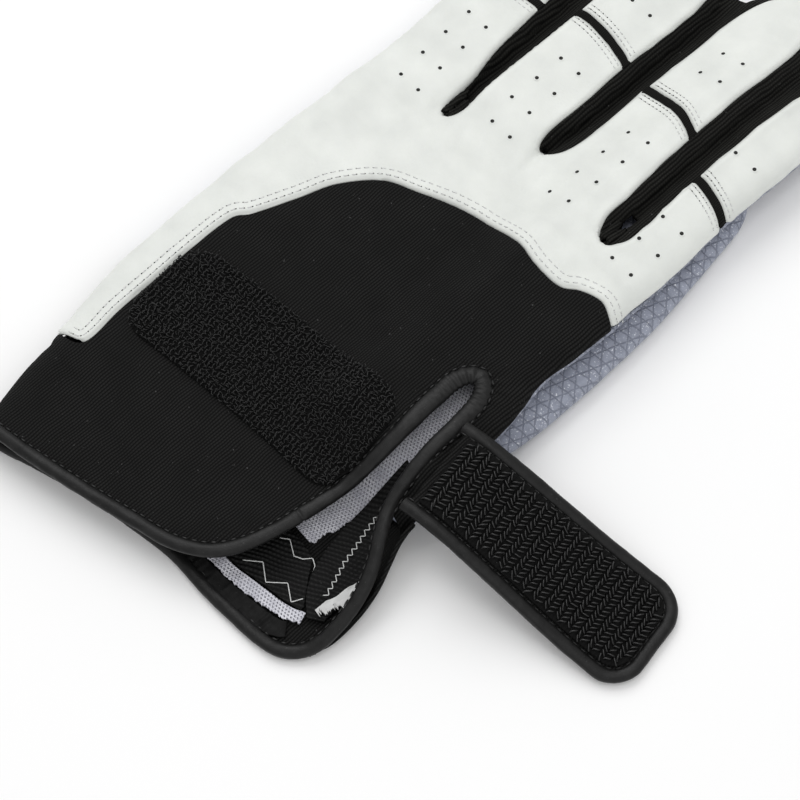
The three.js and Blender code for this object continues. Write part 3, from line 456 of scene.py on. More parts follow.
def add(
    tree: bpy.types.NodeTree, kind: str, inputs: dict[str | int, object] | None = None, **settings: object
) -> bpy.types.Node:
    """A node with its settings, its constants and its links.

    Args:
        tree: the tree that it goes into.
        kind: the node's type.
        inputs: a constant or another node's socket for each named input.
        settings: attributes of the node.

    Returns:
        The node.
    """
    node = tree.nodes.new(kind)
    for key, value in settings.items():
        setattr(node, key, value)
    for key, value in (inputs or {}).items():
        if isinstance(value, Socket):
            tree.links.new(value, node.inputs[key])
        else:
            node.inputs[key].default_value = value
    return node


def maths(tree: bpy.types.NodeTree, operation: str, *values: object) -> Socket:
    """The result of a maths node with these values or sockets."""
    return add(tree, "ShaderNodeMath", dict(enumerate(values)), operation=operation).outputs[0]


def blend(tree: bpy.types.NodeTree, mask: object, dark: object, light: object) -> Socket:
    """A colour between two, by a mask."""
    node = add(tree, "ShaderNodeMix", {0: mask, 6: dark, 7: light}, data_type="RGBA")
    return node.outputs[2]


def colour4(colour: Colour) -> tuple[float, float, float, float]:
    """A colour with full opacity."""
    return (*colour, 1.0)


class Effect(Enum):
    """Node groups that several finishes share."""

    RIBS = "knit_ribs"
    MOTTLE = "mottle"
    GRAIN = "grain"
    LINT = "lint"

    def tree(self) -> bpy.types.NodeTree:
        """The group's tree, wired the first time that it is asked for."""
        known = bpy.data.node_groups.get(self.value)
        if known:
            return known
        makers: dict[Effect, Callable[[], bpy.types.NodeTree]] = {
            Effect.RIBS: ribs_group,
            Effect.MOTTLE: mottle_group,
            Effect.GRAIN: grain_group,
            Effect.LINT: lint_group,
        }
        return makers[self]()

    def placed(self, tree: bpy.types.NodeTree, inputs: dict[str | int, object]) -> bpy.types.Node:
        """The group as a node of a material."""
        node = tree.nodes.new("ShaderNodeGroup")
        node.node_tree = self.tree()
        for key, value in inputs.items():
            if isinstance(value, Socket):
                tree.links.new(value, node.inputs[key])
            else:
                node.inputs[key].default_value = value
        return node


def bare_group(
    name: str, inputs: dict[str, str], outputs: dict[str, str]
) -> tuple[bpy.types.NodeTree, bpy.types.Node, bpy.types.Node]:
    """An empty group with its sockets.

    Args:
        name: the group's name.
        inputs: socket type for each input.
        outputs: socket type for each output.

    Returns:
        The tree, its input node and its output node.
    """
    tree = bpy.data.node_groups.new(name, "ShaderNodeTree")
    for label, kind in inputs.items():
        tree.interface.new_socket(label, in_out="INPUT", socket_type=kind)
    for label, kind in outputs.items():
        tree.interface.new_socket(label, in_out="OUTPUT", socket_type=kind)
    return tree, tree.nodes.new("NodeGroupInput"), tree.nodes.new("NodeGroupOutput")


VALUE, VECTOR, COLOUR = "NodeSocketFloat", "NodeSocketVector", "NodeSocketColor"


def ribs_group() -> bpy.types.NodeTree:
    """Knitted ribs along y: a wave across x whose phase wavers, with small loops along each rib."""
    inputs = {"Vector": VECTOR, "Pitch": VALUE, "Waver": VALUE, "Loops": VALUE}
    tree, given, out = bare_group("knit_ribs", inputs, {"Height": VALUE, "Rib": VALUE})
    drift = add(
        tree, "ShaderNodeTexNoise", {"Vector": given.outputs["Vector"], "Scale": 0.12, "Detail": 2.0}
    )
    waver = maths(tree, "MULTIPLY", maths(tree, "SUBTRACT", drift.outputs[0], 0.5), given.outputs["Waver"])
    parts = add(tree, "ShaderNodeSeparateXYZ", {0: given.outputs["Vector"]})
    across = maths(tree, "DIVIDE", maths(tree, "ADD", parts.outputs[0], waver), given.outputs["Pitch"])
    rib = maths(
        tree, "MULTIPLY_ADD", maths(tree, "SINE", maths(tree, "MULTIPLY", across, 2 * math.pi)), 0.5, 0.5
    )
    lengthwise = maths(tree, "DIVIDE", parts.outputs[1], given.outputs["Pitch"])
    step = maths(tree, "MULTIPLY", maths(tree, "FLOOR", across), 0.5)
    loop = maths(tree, "SINE", maths(tree, "MULTIPLY", maths(tree, "ADD", lengthwise, step), 2 * math.pi))
    height = maths(tree, "MULTIPLY_ADD", maths(tree, "MULTIPLY", loop, rib), given.outputs["Loops"], rib)
    tree.links.new(height, out.inputs["Height"])
    tree.links.new(rib, out.inputs["Rib"])
    return tree


def mottle_group() -> bpy.types.NodeTree:
    """Soft patches of two near colours."""
    inputs = {"Vector": VECTOR, "Scale": VALUE, "Dark": COLOUR, "Light": COLOUR}
    tree, given, out = bare_group("mottle", inputs, {"Color": COLOUR, "Mask": VALUE})
    cloud = add(
        tree, "ShaderNodeTexNoise",
        {"Vector": given.outputs["Vector"], "Scale": given.outputs["Scale"], "Detail": 4.0}
    )
    spread = add(tree, "ShaderNodeMapRange", {0: cloud.outputs[0], 1: 0.3, 2: 0.7})
    tree.links.new(
        blend(tree, spread.outputs[0], given.outputs["Dark"], given.outputs["Light"]), out.inputs["Color"]
    )
    tree.links.new(spread.outputs[0], out.inputs["Mask"])
    return tree


def grain_group() -> bpy.types.NodeTree:
    """Leather grain: rounded pebbles between fine creases, with pores."""
    inputs = {"Vector": VECTOR, "Scale": VALUE}
    tree, given, out = bare_group("grain", inputs, {"Height": VALUE})
    cells = add(
        tree, "ShaderNodeTexVoronoi", {"Vector": given.outputs["Vector"], "Scale": given.outputs["Scale"]},
        feature="SMOOTH_F1",
    )
    fine = add(
        tree, "ShaderNodeTexNoise",
        {"Vector": given.outputs["Vector"], "Scale": given.outputs["Scale"], "Detail": 5.0}
    )
    pebble = maths(tree, "SUBTRACT", 1.0, cells.outputs["Distance"])
    tree.links.new(maths(tree, "MULTIPLY_ADD", fine.outputs[0], 0.8, pebble), out.inputs["Height"])
    return tree


def lint_group() -> bpy.types.NodeTree:
    """Bright specks where a fine noise is near its top."""
    inputs = {"Vector": VECTOR, "Scale": VALUE, "Level": VALUE}
    tree, given, out = bare_group("lint", inputs, {"Mask": VALUE})
    fine = add(
        tree, "ShaderNodeTexNoise",
        {"Vector": given.outputs["Vector"], "Scale": given.outputs["Scale"], "Detail": 3.0}
    )
    over = maths(tree, "SUBTRACT", fine.outputs[0], given.outputs["Level"])
    mask = add(tree, "ShaderNodeMapRange", {0: over, 1: 0.0, 2: 0.05})
    tree.links.new(mask.outputs[0], out.inputs["Mask"])
    return tree


@dataclass(frozen=True)
class Finish(ABC):
    """What a piece is made of. Patterns are in millimetres."""

    name: str
    colour: Colour
    roughness: float

    def material(self) -> bpy.types.Material:
        """The finish as a material, made once."""
        label = f"{self.name}_finish"
        known = bpy.data.materials.get(label)
        if known:
            return known
        material = bpy.data.materials.new(label)
        material.use_nodes = True
        tree = material.node_tree
        shader = tree.nodes["Principled BSDF"]
        shader.inputs["Base Color"].default_value = colour4(self.colour)
        shader.inputs["Roughness"].default_value = self.roughness
        self.dress(tree, shader)
        return material

    @abstractmethod
    def dress(self, tree: bpy.types.NodeTree, shader: bpy.types.Node) -> None:
        """Wires the finish's pattern into the shader."""

    @staticmethod
    def place(tree: bpy.types.NodeTree, turn: float = 0.0) -> Socket:
        """Millimetres of the glove, turned in the plan.

        Args:
            tree: the material's tree.
            turn: degrees.

        Returns:
            The coordinates' socket.
        """
        source = add(tree, "ShaderNodeTexCoord").outputs["Object"]
        mapping = add(
            tree, "ShaderNodeMapping",
            {"Vector": source, "Rotation": (0, 0, math.radians(turn)), "Scale": (1 / MM,) * 3}
        )
        return mapping.outputs[0]

    @staticmethod
    def bump(tree: bpy.types.NodeTree, shader: bpy.types.Node, height: Socket, depth: float) -> None:
        """A bump into the shader's normal.

        Args:
            tree: the material's tree.
            shader: its shader.
            height: the pattern's height.
            depth: what a height of one means, in millimetres.
        """
        node = add(tree, "ShaderNodeBump", {"Height": height, "Distance": depth * MM, "Strength": 1.0})
        tree.links.new(node.outputs[0], shader.inputs["Normal"])


@dataclass(frozen=True)
class Leather(Finish):
    """White synthetic leather: fine grain, faint grey clouding and a few creases."""

    shade: Colour = (0.70, 0.72, 0.69)
    grain: float = 1.6

    def dress(self, tree: bpy.types.NodeTree, shader: bpy.types.Node) -> None:
        """Wires grain, clouding and gloss."""
        where = self.place(tree)
        cloud = Effect.MOTTLE.placed(
            tree,
            {"Vector": where, "Scale": 0.09, "Dark": colour4(self.shade), "Light": colour4(self.colour)}
        )
        dust = Effect.LINT.placed(tree, {"Vector": where, "Scale": 2.4, "Level": 0.69})
        spotted = blend(
            tree, maths(tree, "MULTIPLY", dust.outputs[0], 0.25), cloud.outputs["Color"],
            colour4(self.shade)
        )
        tree.links.new(spotted, shader.inputs["Base Color"])
        grain = Effect.GRAIN.placed(tree, {"Vector": where, "Scale": self.grain})
        rough = maths(tree, "MULTIPLY_ADD", grain.outputs[0], 0.12, self.roughness - 0.1)
        tree.links.new(rough, shader.inputs["Roughness"])
        shader.inputs["Subsurface Weight"].default_value = 0.08
        shader.inputs["Subsurface Radius"].default_value = (0.002, 0.002, 0.0018)
        self.bump(tree, shader, grain.outputs[0], 0.035)


@dataclass(frozen=True)
class Knit(Finish):
    """Black stretch knit in fine ribs and a little lint, with painted highlight on the rib backs and painted
    shade in the grooves between them.
    """

    # crest: painted highlight colour of the rib backs, lightly mottled; the base colour is the painted shade
    # of the grooves
    crest: Colour = (0.012, 0.012, 0.0115)
    pitch: float = 0.75
    turn: float = 0.0
    depth: float = 0.09

    def dress(self, tree: bpy.types.NodeTree, shader: bpy.types.Node) -> None:
        """Wires ribs, lint, and the painted light and shade of the ribs."""
        where = self.place(tree, self.turn)
        ribs = Effect.RIBS.placed(tree, {"Vector": where, "Pitch": self.pitch, "Waver": 1.2, "Loops": 0.45})
        dim = tuple(0.75 * part for part in self.crest)
        cloud = Effect.MOTTLE.placed(
            tree, {"Vector": where, "Scale": 0.15, "Dark": colour4(dim), "Light": colour4(self.crest)}
        )
        # Painted light and shade: colour runs from the dark base in the grooves to the pale crest on the rib
        # backs, by the ribs' height
        painted_rib_light = blend(tree, ribs.outputs["Height"], colour4(self.colour), cloud.outputs["Color"])
        lint = Effect.LINT.placed(tree, {"Vector": where, "Scale": 1.1, "Level": 0.72})
        tree.links.new(
            blend(tree, lint.outputs[0], painted_rib_light, (0.09, 0.09, 0.09, 1)), shader.inputs["Base Color"]
        )
        shader.inputs["Specular IOR Level"].default_value = 0.12
        self.bump(tree, shader, ribs.outputs["Height"], self.depth)


@dataclass(frozen=True)
class GripCloth(Finish):
    """Grey grip cloth: a relief of small triangles between darker lines, with flecks of pale glitter whose
    glint is painted into their colour.
    """

    line: Colour = (0.13, 0.145, 0.19)
    cell: float = 3.0

    def dress(self, tree: bpy.types.NodeTree, shader: bpy.types.Node) -> None:
        """Wires triangles, weave and the flecks' painted glint."""
        where = self.place(tree, 18.0)
        drift = add(tree, "ShaderNodeTexNoise", {"Vector": where, "Scale": 0.35, "Detail": 1.0})
        parts = add(tree, "ShaderNodeSeparateXYZ", {0: where})
        lines = None
        for degrees in (0.0, 60.0, 120.0):
            turn = math.radians(degrees)
            run = maths(tree, "MULTIPLY", parts.outputs[0], math.cos(turn) / self.cell)
            run = maths(tree, "MULTIPLY_ADD", parts.outputs[1], math.sin(turn) / self.cell, run)
            run = maths(tree, "MULTIPLY_ADD", drift.outputs[0], 0.25, run)
            off = maths(tree, "ABSOLUTE", maths(tree, "SUBTRACT", maths(tree, "FRACT", run), 0.5))
            band = add(tree, "ShaderNodeMapRange", {0: off, 1: 0.1, 2: 0.0}).outputs[0]
            lines = band if lines is None else maths(tree, "MAXIMUM", lines, band)
        cloud = Effect.MOTTLE.placed(
            tree, {"Vector": where, "Scale": 0.5, "Dark": colour4(self.line), "Light": colour4(self.colour)}
        )
        body = blend(tree, 0.65, cloud.outputs["Color"], colour4(self.colour))
        cloth = blend(tree, maths(tree, "MULTIPLY", lines, 0.7), body, colour4(self.line))
        weave = Effect.RIBS.placed(tree, {"Vector": where, "Pitch": 0.45, "Waver": 0.6, "Loops": 0.8})
        fleck = Effect.LINT.placed(tree, {"Vector": where, "Scale": 2.2, "Level": 0.62})
        # Painted glint: flecks away from the lines turn near-white and a little less rough
        painted_glint = maths(tree, "MULTIPLY", fleck.outputs[0], maths(tree, "SUBTRACT", 1.0, lines))
        tree.links.new(blend(tree, painted_glint, cloth, (0.85, 0.87, 0.92, 1)), shader.inputs["Base Color"])
        tree.links.new(maths(tree, "MULTIPLY_ADD", painted_glint, -0.3, self.roughness), shader.inputs["Roughness"])
        height = maths(
            tree, "MULTIPLY_ADD", weave.outputs["Height"], 0.2, maths(tree, "SUBTRACT", 1.0, lines)
        )
        self.bump(tree, shader, height, 0.16)


@dataclass(frozen=True)
class Trim(Finish):
    """Smooth dark trim: fine grain and a soft gloss."""

    crest: Colour = (0.05, 0.05, 0.051)
    gloss: float = 0.2

    def dress(self, tree: bpy.types.NodeTree, shader: bpy.types.Node) -> None:
        """Wires grain, clouding and lint."""
        where = self.place(tree)
        cloud = Effect.MOTTLE.placed(
            tree,
            {"Vector": where, "Scale": 0.5, "Dark": colour4(self.colour), "Light": colour4(self.crest)}
        )
        lint = Effect.LINT.placed(tree, {"Vector": where, "Scale": 2.0, "Level": 0.7})
        tree.links.new(
            blend(
                tree, maths(tree, "MULTIPLY", lint.outputs[0], 0.4), cloud.outputs["Color"],
                (0.12, 0.12, 0.12, 1)
            ),
            shader.inputs["Base Color"]
        )
        grain = Effect.GRAIN.placed(tree, {"Vector": where, "Scale": 3.0})
        tree.links.new(
            maths(tree, "MULTIPLY_ADD", grain.outputs[0], 0.1, self.roughness - 0.08),
            shader.inputs["Roughness"]
        )
        shader.inputs["Specular IOR Level"].default_value = self.gloss
        self.bump(tree, shader, grain.outputs[0], 0.03)


@dataclass(frozen=True)
class MeshCloth(Finish):
    """Pale lining knit with rows of dark pores."""

    pore: Colour = (0.10, 0.10, 0.13)
    pitch: float = 1.5

    def dress(self, tree: bpy.types.NodeTree, shader: bpy.types.Node) -> None:
        """Wires pores and ribs."""
        where = self.place(tree, 24.0)
        parts = add(tree, "ShaderNodeSeparateXYZ", {0: where})
        one = maths(tree, "COSINE", maths(tree, "MULTIPLY", parts.outputs[0], 2 * math.pi / self.pitch))
        other = maths(
            tree, "COSINE", maths(tree, "MULTIPLY", parts.outputs[1], 2 * math.pi / (self.pitch * 0.62))
        )
        dots = add(
            tree, "ShaderNodeMapRange", {0: maths(tree, "MULTIPLY", one, other), 1: 0.25, 2: 0.6}
        ).outputs[0]
        cloud = Effect.MOTTLE.placed(
            tree,
            {"Vector": where, "Scale": 0.25, "Dark": (0.56, 0.56, 0.63, 1), "Light": colour4(self.colour)}
        )
        broken = maths(
            tree, "MULTIPLY", dots, maths(tree, "MULTIPLY_ADD", cloud.outputs["Mask"], 0.5, 0.45)
        )
        tree.links.new(
            blend(tree, broken, cloud.outputs["Color"], colour4(self.pore)), shader.inputs["Base Color"]
        )
        ribs = Effect.RIBS.placed(tree, {"Vector": where, "Pitch": 0.5, "Waver": 0.4, "Loops": 0.6})
        self.bump(tree, shader, maths(tree, "SUBTRACT", ribs.outputs["Height"], dots), 0.1)


@dataclass(frozen=True)
class Thread(Finish):
    """Twisted sewing thread, or the strands of the closure."""

    gloss: float = 0.5
    twist: float = 0.35

    def dress(self, tree: bpy.types.NodeTree, shader: bpy.types.Node) -> None:
        """Wires the twist, with painted shade: the twist's grooves are coloured at 0.6 of the thread's
        colour.
        """
        where = self.place(tree, 35.0)
        ribs = Effect.RIBS.placed(tree, {"Vector": where, "Pitch": self.twist, "Waver": 0.1, "Loops": 0.0})
        # Painted shade in the twist's grooves
        dark = tuple(0.6 * part for part in self.colour)
        tree.links.new(
            blend(tree, ribs.outputs["Rib"], colour4(dark), colour4(self.colour)),
            shader.inputs["Base Color"]
        )
        shader.inputs["Specular IOR Level"].default_value = self.gloss
        self.bump(tree, shader, ribs.outputs["Height"], 0.015)


LEATHER = Leather("white_leather", (0.79, 0.81, 0.775), 0.55)
# The knits' crest colours are painted highlights on their rib backs
KNIT = Knit("cuff_knit", (0.0015, 0.0015, 0.0015), 0.85, crest=(0.019, 0.019, 0.0185))
GUSSET = Knit(
    "gusset_knit", (0.003, 0.003, 0.0027), 0.9, crest=(0.024, 0.024, 0.0215), pitch=0.8, depth=0.14
)
BAND = Knit("knuckle_elastic", (0.003, 0.003, 0.0028), 0.9, crest=(0.014, 0.014, 0.0125), pitch=0.5)
ELASTIC = Knit(
    "wrist_elastic", (0.002, 0.002, 0.002), 0.6, crest=(0.022, 0.022, 0.022), pitch=1.1, turn=62.0,
    depth=0.25
)
GRIP = GripCloth("grip_cloth", (0.36, 0.385, 0.47), 0.62)
PIPING = Trim("piping", (0.006, 0.006, 0.006), 0.42, crest=(0.012, 0.012, 0.012), gloss=0.25)
FACING = Trim("hem_facing", (0.004, 0.004, 0.004), 0.6, crest=(0.01, 0.01, 0.01), gloss=0.12)
LINING = MeshCloth("mesh_lining", (0.80, 0.80, 0.86), 0.8)
LOOP_BASE = Knit("loop_ground", (0.003, 0.003, 0.003), 0.95, crest=(0.006, 0.006, 0.006), pitch=1.2)
LOOP_YARN = Thread("loop_yarn", (0.022, 0.022, 0.022), 0.5)
HOOK_BASE = Knit("hook_ground", (0.003, 0.003, 0.003), 0.8, crest=(0.006, 0.006, 0.006), pitch=1.0)
HOOK_YARN = Thread("hook_strand", (0.003, 0.003, 0.003), 0.34, gloss=0.5)
WHITE_THREAD = Thread("white_thread", (0.80, 0.81, 0.80), 0.6)
BLACK_THREAD = Thread("black_thread", (0.008, 0.008, 0.008), 0.5)
# Painted shade for the needle holes and perforations: a near-black finish put where the pits are
PAINTED_HOLE_SHADE = Thread("needle_hole", (0.02, 0.02, 0.018), 0.9)
LABEL = Leather("label_cloth", (0.74, 0.75, 0.74), 0.8, shade=(0.55, 0.55, 0.55))


# The hand's form


def table(rows: Sequence[Sequence[float]]) -> Callable[[Array, int], Array]:
    """A smooth look-up through rows of a key and its values.

    Args:
        rows: rows in rising order of their first column.

    Returns:
        A function of the key and of the column wanted.
    """
    dense = spline(np.array(rows, float), 400)
    return lambda key, column: np.interp(key, dense[:, 0], dense[:, column])


@dataclass
class HandForm:
    """Heights of the empty hand above the table, for points of its plan. The back and the palm
    are flat in the middle and roll round the sides as ellipses."""

    palm_thickness: float = 11.0
    side_roll: float = 8.0
    finger_roll: float = 5.6
    lift: float = 7.6
    lift_share: float = 0.8
    lengths: tuple[float, ...] = (59.0, 73.0, 80.0, 79.0)
    webs: tuple[float, ...] = (0.333, 0.41, 0.41, 0.338)
    sides: Callable[[Array, int], Array] = field(init=False)
    puffs: Callable[[Array, int], Array] = field(init=False)
    finger_sides: list[Callable[[Array, int], Array]] = field(init=False)
    seams: dict[tuple[int, int], Array] = field(init=False)

    def __post_init__(self) -> None:
        """Reads the side lines, thicknesses and gusset seams."""
        self.sides = table([
            [-0.64, -0.385, 0.49], [-0.58, -0.415, 0.49], [-0.48, -0.452, 0.49], [-0.36, -0.485, 0.49],
            [-0.26, -0.512, 0.492], [-0.15, -0.522, 0.492], [-0.05, -0.525, 0.488], [0.03, -0.526, 0.472],
            [0.09, -0.527, 0.458], [0.15, -0.526, 0.466], [0.23, -0.524, 0.472], [0.33, -0.522, 0.470],
            [0.5, -0.522, 0.470],
        ])
        self.puffs = table(
            [
                [-0.64, 0.927], [-0.45, 0.92], [-0.25, 0.95], [0, 1], [0.25, 1], [0.34, 0.855], [0.7, 0.84],
                [0.95, 0.78]
            ]
        )
        self.finger_sides = [
            table(
                [
                    [-0.34, -0.522, -0.20], [0, -0.522, -0.263], [0.2, -0.525, -0.281],
                    [0.45, -0.531, -0.288], [0.7, -0.532, -0.296], [1, -0.515, -0.315]
                ]
            ),
            table(
                [
                    [-0.43, -0.33, 0.06], [-0.16, -0.264, 0.025], [0, -0.276, -0.018],
                    [0.2, -0.281, -0.008], [0.5, -0.281, -0.010], [0.8, -0.275, -0.012], [1, -0.255, -0.03]
                ]
            ),
            table(
                [
                    [-0.43, -0.07, 0.34], [-0.14, -0.045, 0.286], [0, -0.020, 0.284], [0.2, 0.0, 0.279],
                    [0.5, 0.0, 0.276], [0.8, 0.005, 0.270], [1, 0.02, 0.255]
                ]
            ),
            table(
                [
                    [-0.26, 0.22, 0.472], [0, 0.282, 0.470], [0.14, 0.290, 0.465], [0.3, 0.286, 0.456],
                    [0.6, 0.288, 0.462], [0.85, 0.292, 0.462], [1, 0.305, 0.45]
                ]
            ),
        ]
        webs = [
            ([
                (-0.262, 0.322), (-0.279, 0.352), (-0.288, 0.41), (-0.309, 0.48), (-0.322, 0.58),
                (-0.335, 0.66), (-0.372, 0.712), (-0.41, 0.745),
            ], [
                (-0.262, 0.322), (-0.248, 0.355), (-0.256, 0.43), (-0.254, 0.55), (-0.253, 0.70),
                (-0.245, 0.81), (-0.20, 0.872), (-0.15, 0.915),
            ]),
            ([
                (-0.022, 0.395), (-0.042, 0.425), (-0.042, 0.50), (-0.047, 0.60), (-0.04, 0.72),
                (-0.045, 0.81), (-0.08, 0.87), (-0.13, 0.915),
            ], [
                (-0.022, 0.395), (0.018, 0.418), (0.032, 0.48), (0.028, 0.58), (0.035, 0.70), (0.04, 0.84),
                (0.08, 0.915), (0.13, 0.965),
            ]),
            ([
                (0.286, 0.328), (0.252, 0.36), (0.247, 0.42), (0.237, 0.52), (0.235, 0.66), (0.232, 0.83),
                (0.20, 0.905), (0.15, 0.965),
            ], [
                (0.286, 0.328), (0.322, 0.348), (0.33, 0.40), (0.322, 0.48), (0.322, 0.62), (0.328, 0.76),
                (0.35, 0.83), (0.38, 0.885),
            ]),
        ]
        self.seams = {}
        for web, (left, right) in enumerate(webs):
            whole = spline(plan([*left[:0:-1], *right]), 400)
            low = int(np.argmin(distance(whole, plan([left[0]]))))
            self.seams[(web, 2)] = whole[low::-1]
            self.seams[(web + 1, 1)] = whole[low:]

    def underside(self, x: Array, y: Array) -> Array:
        """Height of the palm, raised where the thumb lies under it."""
        raised = smooth(x, 3.0, 19.0) * smooth(y, -39.0, -22.5)
        return self.lift * raised * (1 - 0.6 * smooth(y, 99.0, 132.0))

    def puff(self, y: Array) -> Array:
        """Thickness of the empty hand at a length."""
        return self.palm_thickness * self.puffs(np.asarray(y) / HAND_LENGTH, 1)

    def backside(self, x: Array, y: Array) -> Array:
        """Height of the back in its flat middle."""
        return self.lift_share * self.underside(x, y) + self.puff(y)

    def start(self, finger: int) -> float:
        """Length at which a finger leaves the hand."""
        return self.webs[finger] * HAND_LENGTH

    def tip(self, finger: int) -> float:
        """Length of a finger's tip."""
        return self.start(finger) + self.lengths[finger]

    def reach(self, finger: int, y: Array) -> tuple[Array, Array, Array]:
        """A finger's middle line, half width and the share of its round tip passed at a length."""
        key = (np.asarray(y, float) - self.start(finger)) / self.lengths[finger]
        left, right = (PALM_WIDTH * self.finger_sides[finger](key, k) for k in (1, 2))
        end = [PALM_WIDTH * float(self.finger_sides[finger](1.0, k)) for k in (1, 2)]
        round_end = (end[1] - end[0]) / 2
        share = np.clip((y - self.tip(finger) + round_end) / round_end, 0.0, 1.0)
        return (left + right) / 2, (right - left) / 2 * np.sqrt(1 - share**2), share

    def finger_rise(self, finger: int, x: Array, y: Array) -> Array:
        """How much of the full thickness a finger has at a point, from 0 to 1."""
        middle, half, share = self.reach(finger, y)
        roll = np.maximum(np.minimum(self.finger_roll, half), 0.01)
        inside = np.clip((half - np.abs(x - middle)) / roll, 0.0, 1.0)
        full = np.sqrt(1 - share**4) * (1 - 0.1 * smooth(self.start(finger) - y, 4, 16))
        below = self.start(finger) - 0.3 * self.lengths[finger]
        return np.sqrt(1 - (1 - inside) ** 2) * full * smooth(y, below, below + 8)

    def hand_rise(self, x: Array, y: Array) -> Array:
        """How much of the full thickness the hand has at a point; it fades past the webs."""
        left, right = (PALM_WIDTH * self.sides(np.asarray(y) / HAND_LENGTH, k) for k in (1, 2))
        inside = np.clip(np.minimum(x - left, right - x) / self.side_roll, 0.0, 1.0)
        return np.sqrt(1 - (1 - inside) ** 2) * (1 - smooth(y, 43.0, 66.0))

    def skin(self, plan_points: Array, side: Side, finger: int | None = None) -> Array:
        """Points of the glove's skin over points of its plan: the middle height, plus or minus
        half the thickness times the rise.

        Args:
            plan_points: any array whose last axis is x and y.
            side: back or palm.
            finger: only this finger and the hand count, and not its neighbours.

        Returns:
            The same array with heights added.
        """
        x, y = plan_points[..., 0], plan_points[..., 1]
        rise = self.hand_rise(x, y)
        for each in range(4) if finger is None else (finger,):
            rise = np.maximum(rise, self.finger_rise(each, x, y))
        low, high = self.underside(x, y), self.backside(x, y)
        z = (low + high) / 2 + side.value * (high - low) / 2 * rise
        return np.stack([x, y, z], axis=-1)

    def outline(self, finger: int, column: int, y: Array) -> Array:
        """The outer line of a finger, and of the hand below it."""
        middle, half, _ = self.reach(finger, y)
        own = middle + (half if column == 2 else -half)
        hand = PALM_WIDTH * self.sides(np.asarray(y) / HAND_LENGTH, column)
        if (finger, column) in ((0, 1), (3, 2)):
            return np.where(y < self.start(finger), hand, own)
        return own

    def side_line(self, finger: int, column: int, low: float, high: float) -> Array:
        """The outline as a line, with its points closer together toward the tip."""
        y = high - (high - low) * np.linspace(1.0, 0.0, 300) ** 2
        return np.stack([self.outline(finger, column, y), y], axis=-1)

    def edge(self, finger: int, column: int, low: float | None = None) -> Array:
        """A finger strip's edge from its web to the tip: the gusset's seam, or the outline.

        Args:
            finger: which finger.
            column: 1 for its left edge and 2 for its right edge.
            low: where an outer edge starts.

        Returns:
            A dense line that ends on the tip.
        """
        tip = self.tip(finger)
        middle = float(self.reach(finger, np.array(tip))[0])
        if (finger, column) not in self.seams:
            start = self.start(finger) if low is None else low
            return self.side_line(finger, column, start, tip)
        line = self.seams[(finger, column)]
        line = line[line[:, 1] < tip - 0.05].copy()
        outline = self.outline(finger, column, line[:, 1])
        fit = np.maximum if column == 1 else np.minimum
        line[:, 0] = fit(line[:, 0], outline)
        return np.vstack([line, [[middle, tip]]])


def cut_above(line: Array, y: float) -> Array:
    """The part of a line below a length, ending exactly on it."""
    keep = line[:, 1] < y
    x = np.interp(y, line[:, 1], line[:, 0])
    return np.vstack([line[keep], [[x, y]]])


def cut_below(line: Array, y: float) -> Array:
    """The part of a line above a length, starting exactly on it."""
    keep = line[:, 1] > y
    x = np.interp(y, line[:, 1], line[:, 0])
    return np.vstack([[[x, y]], line[keep]])


# Sub-assemblies


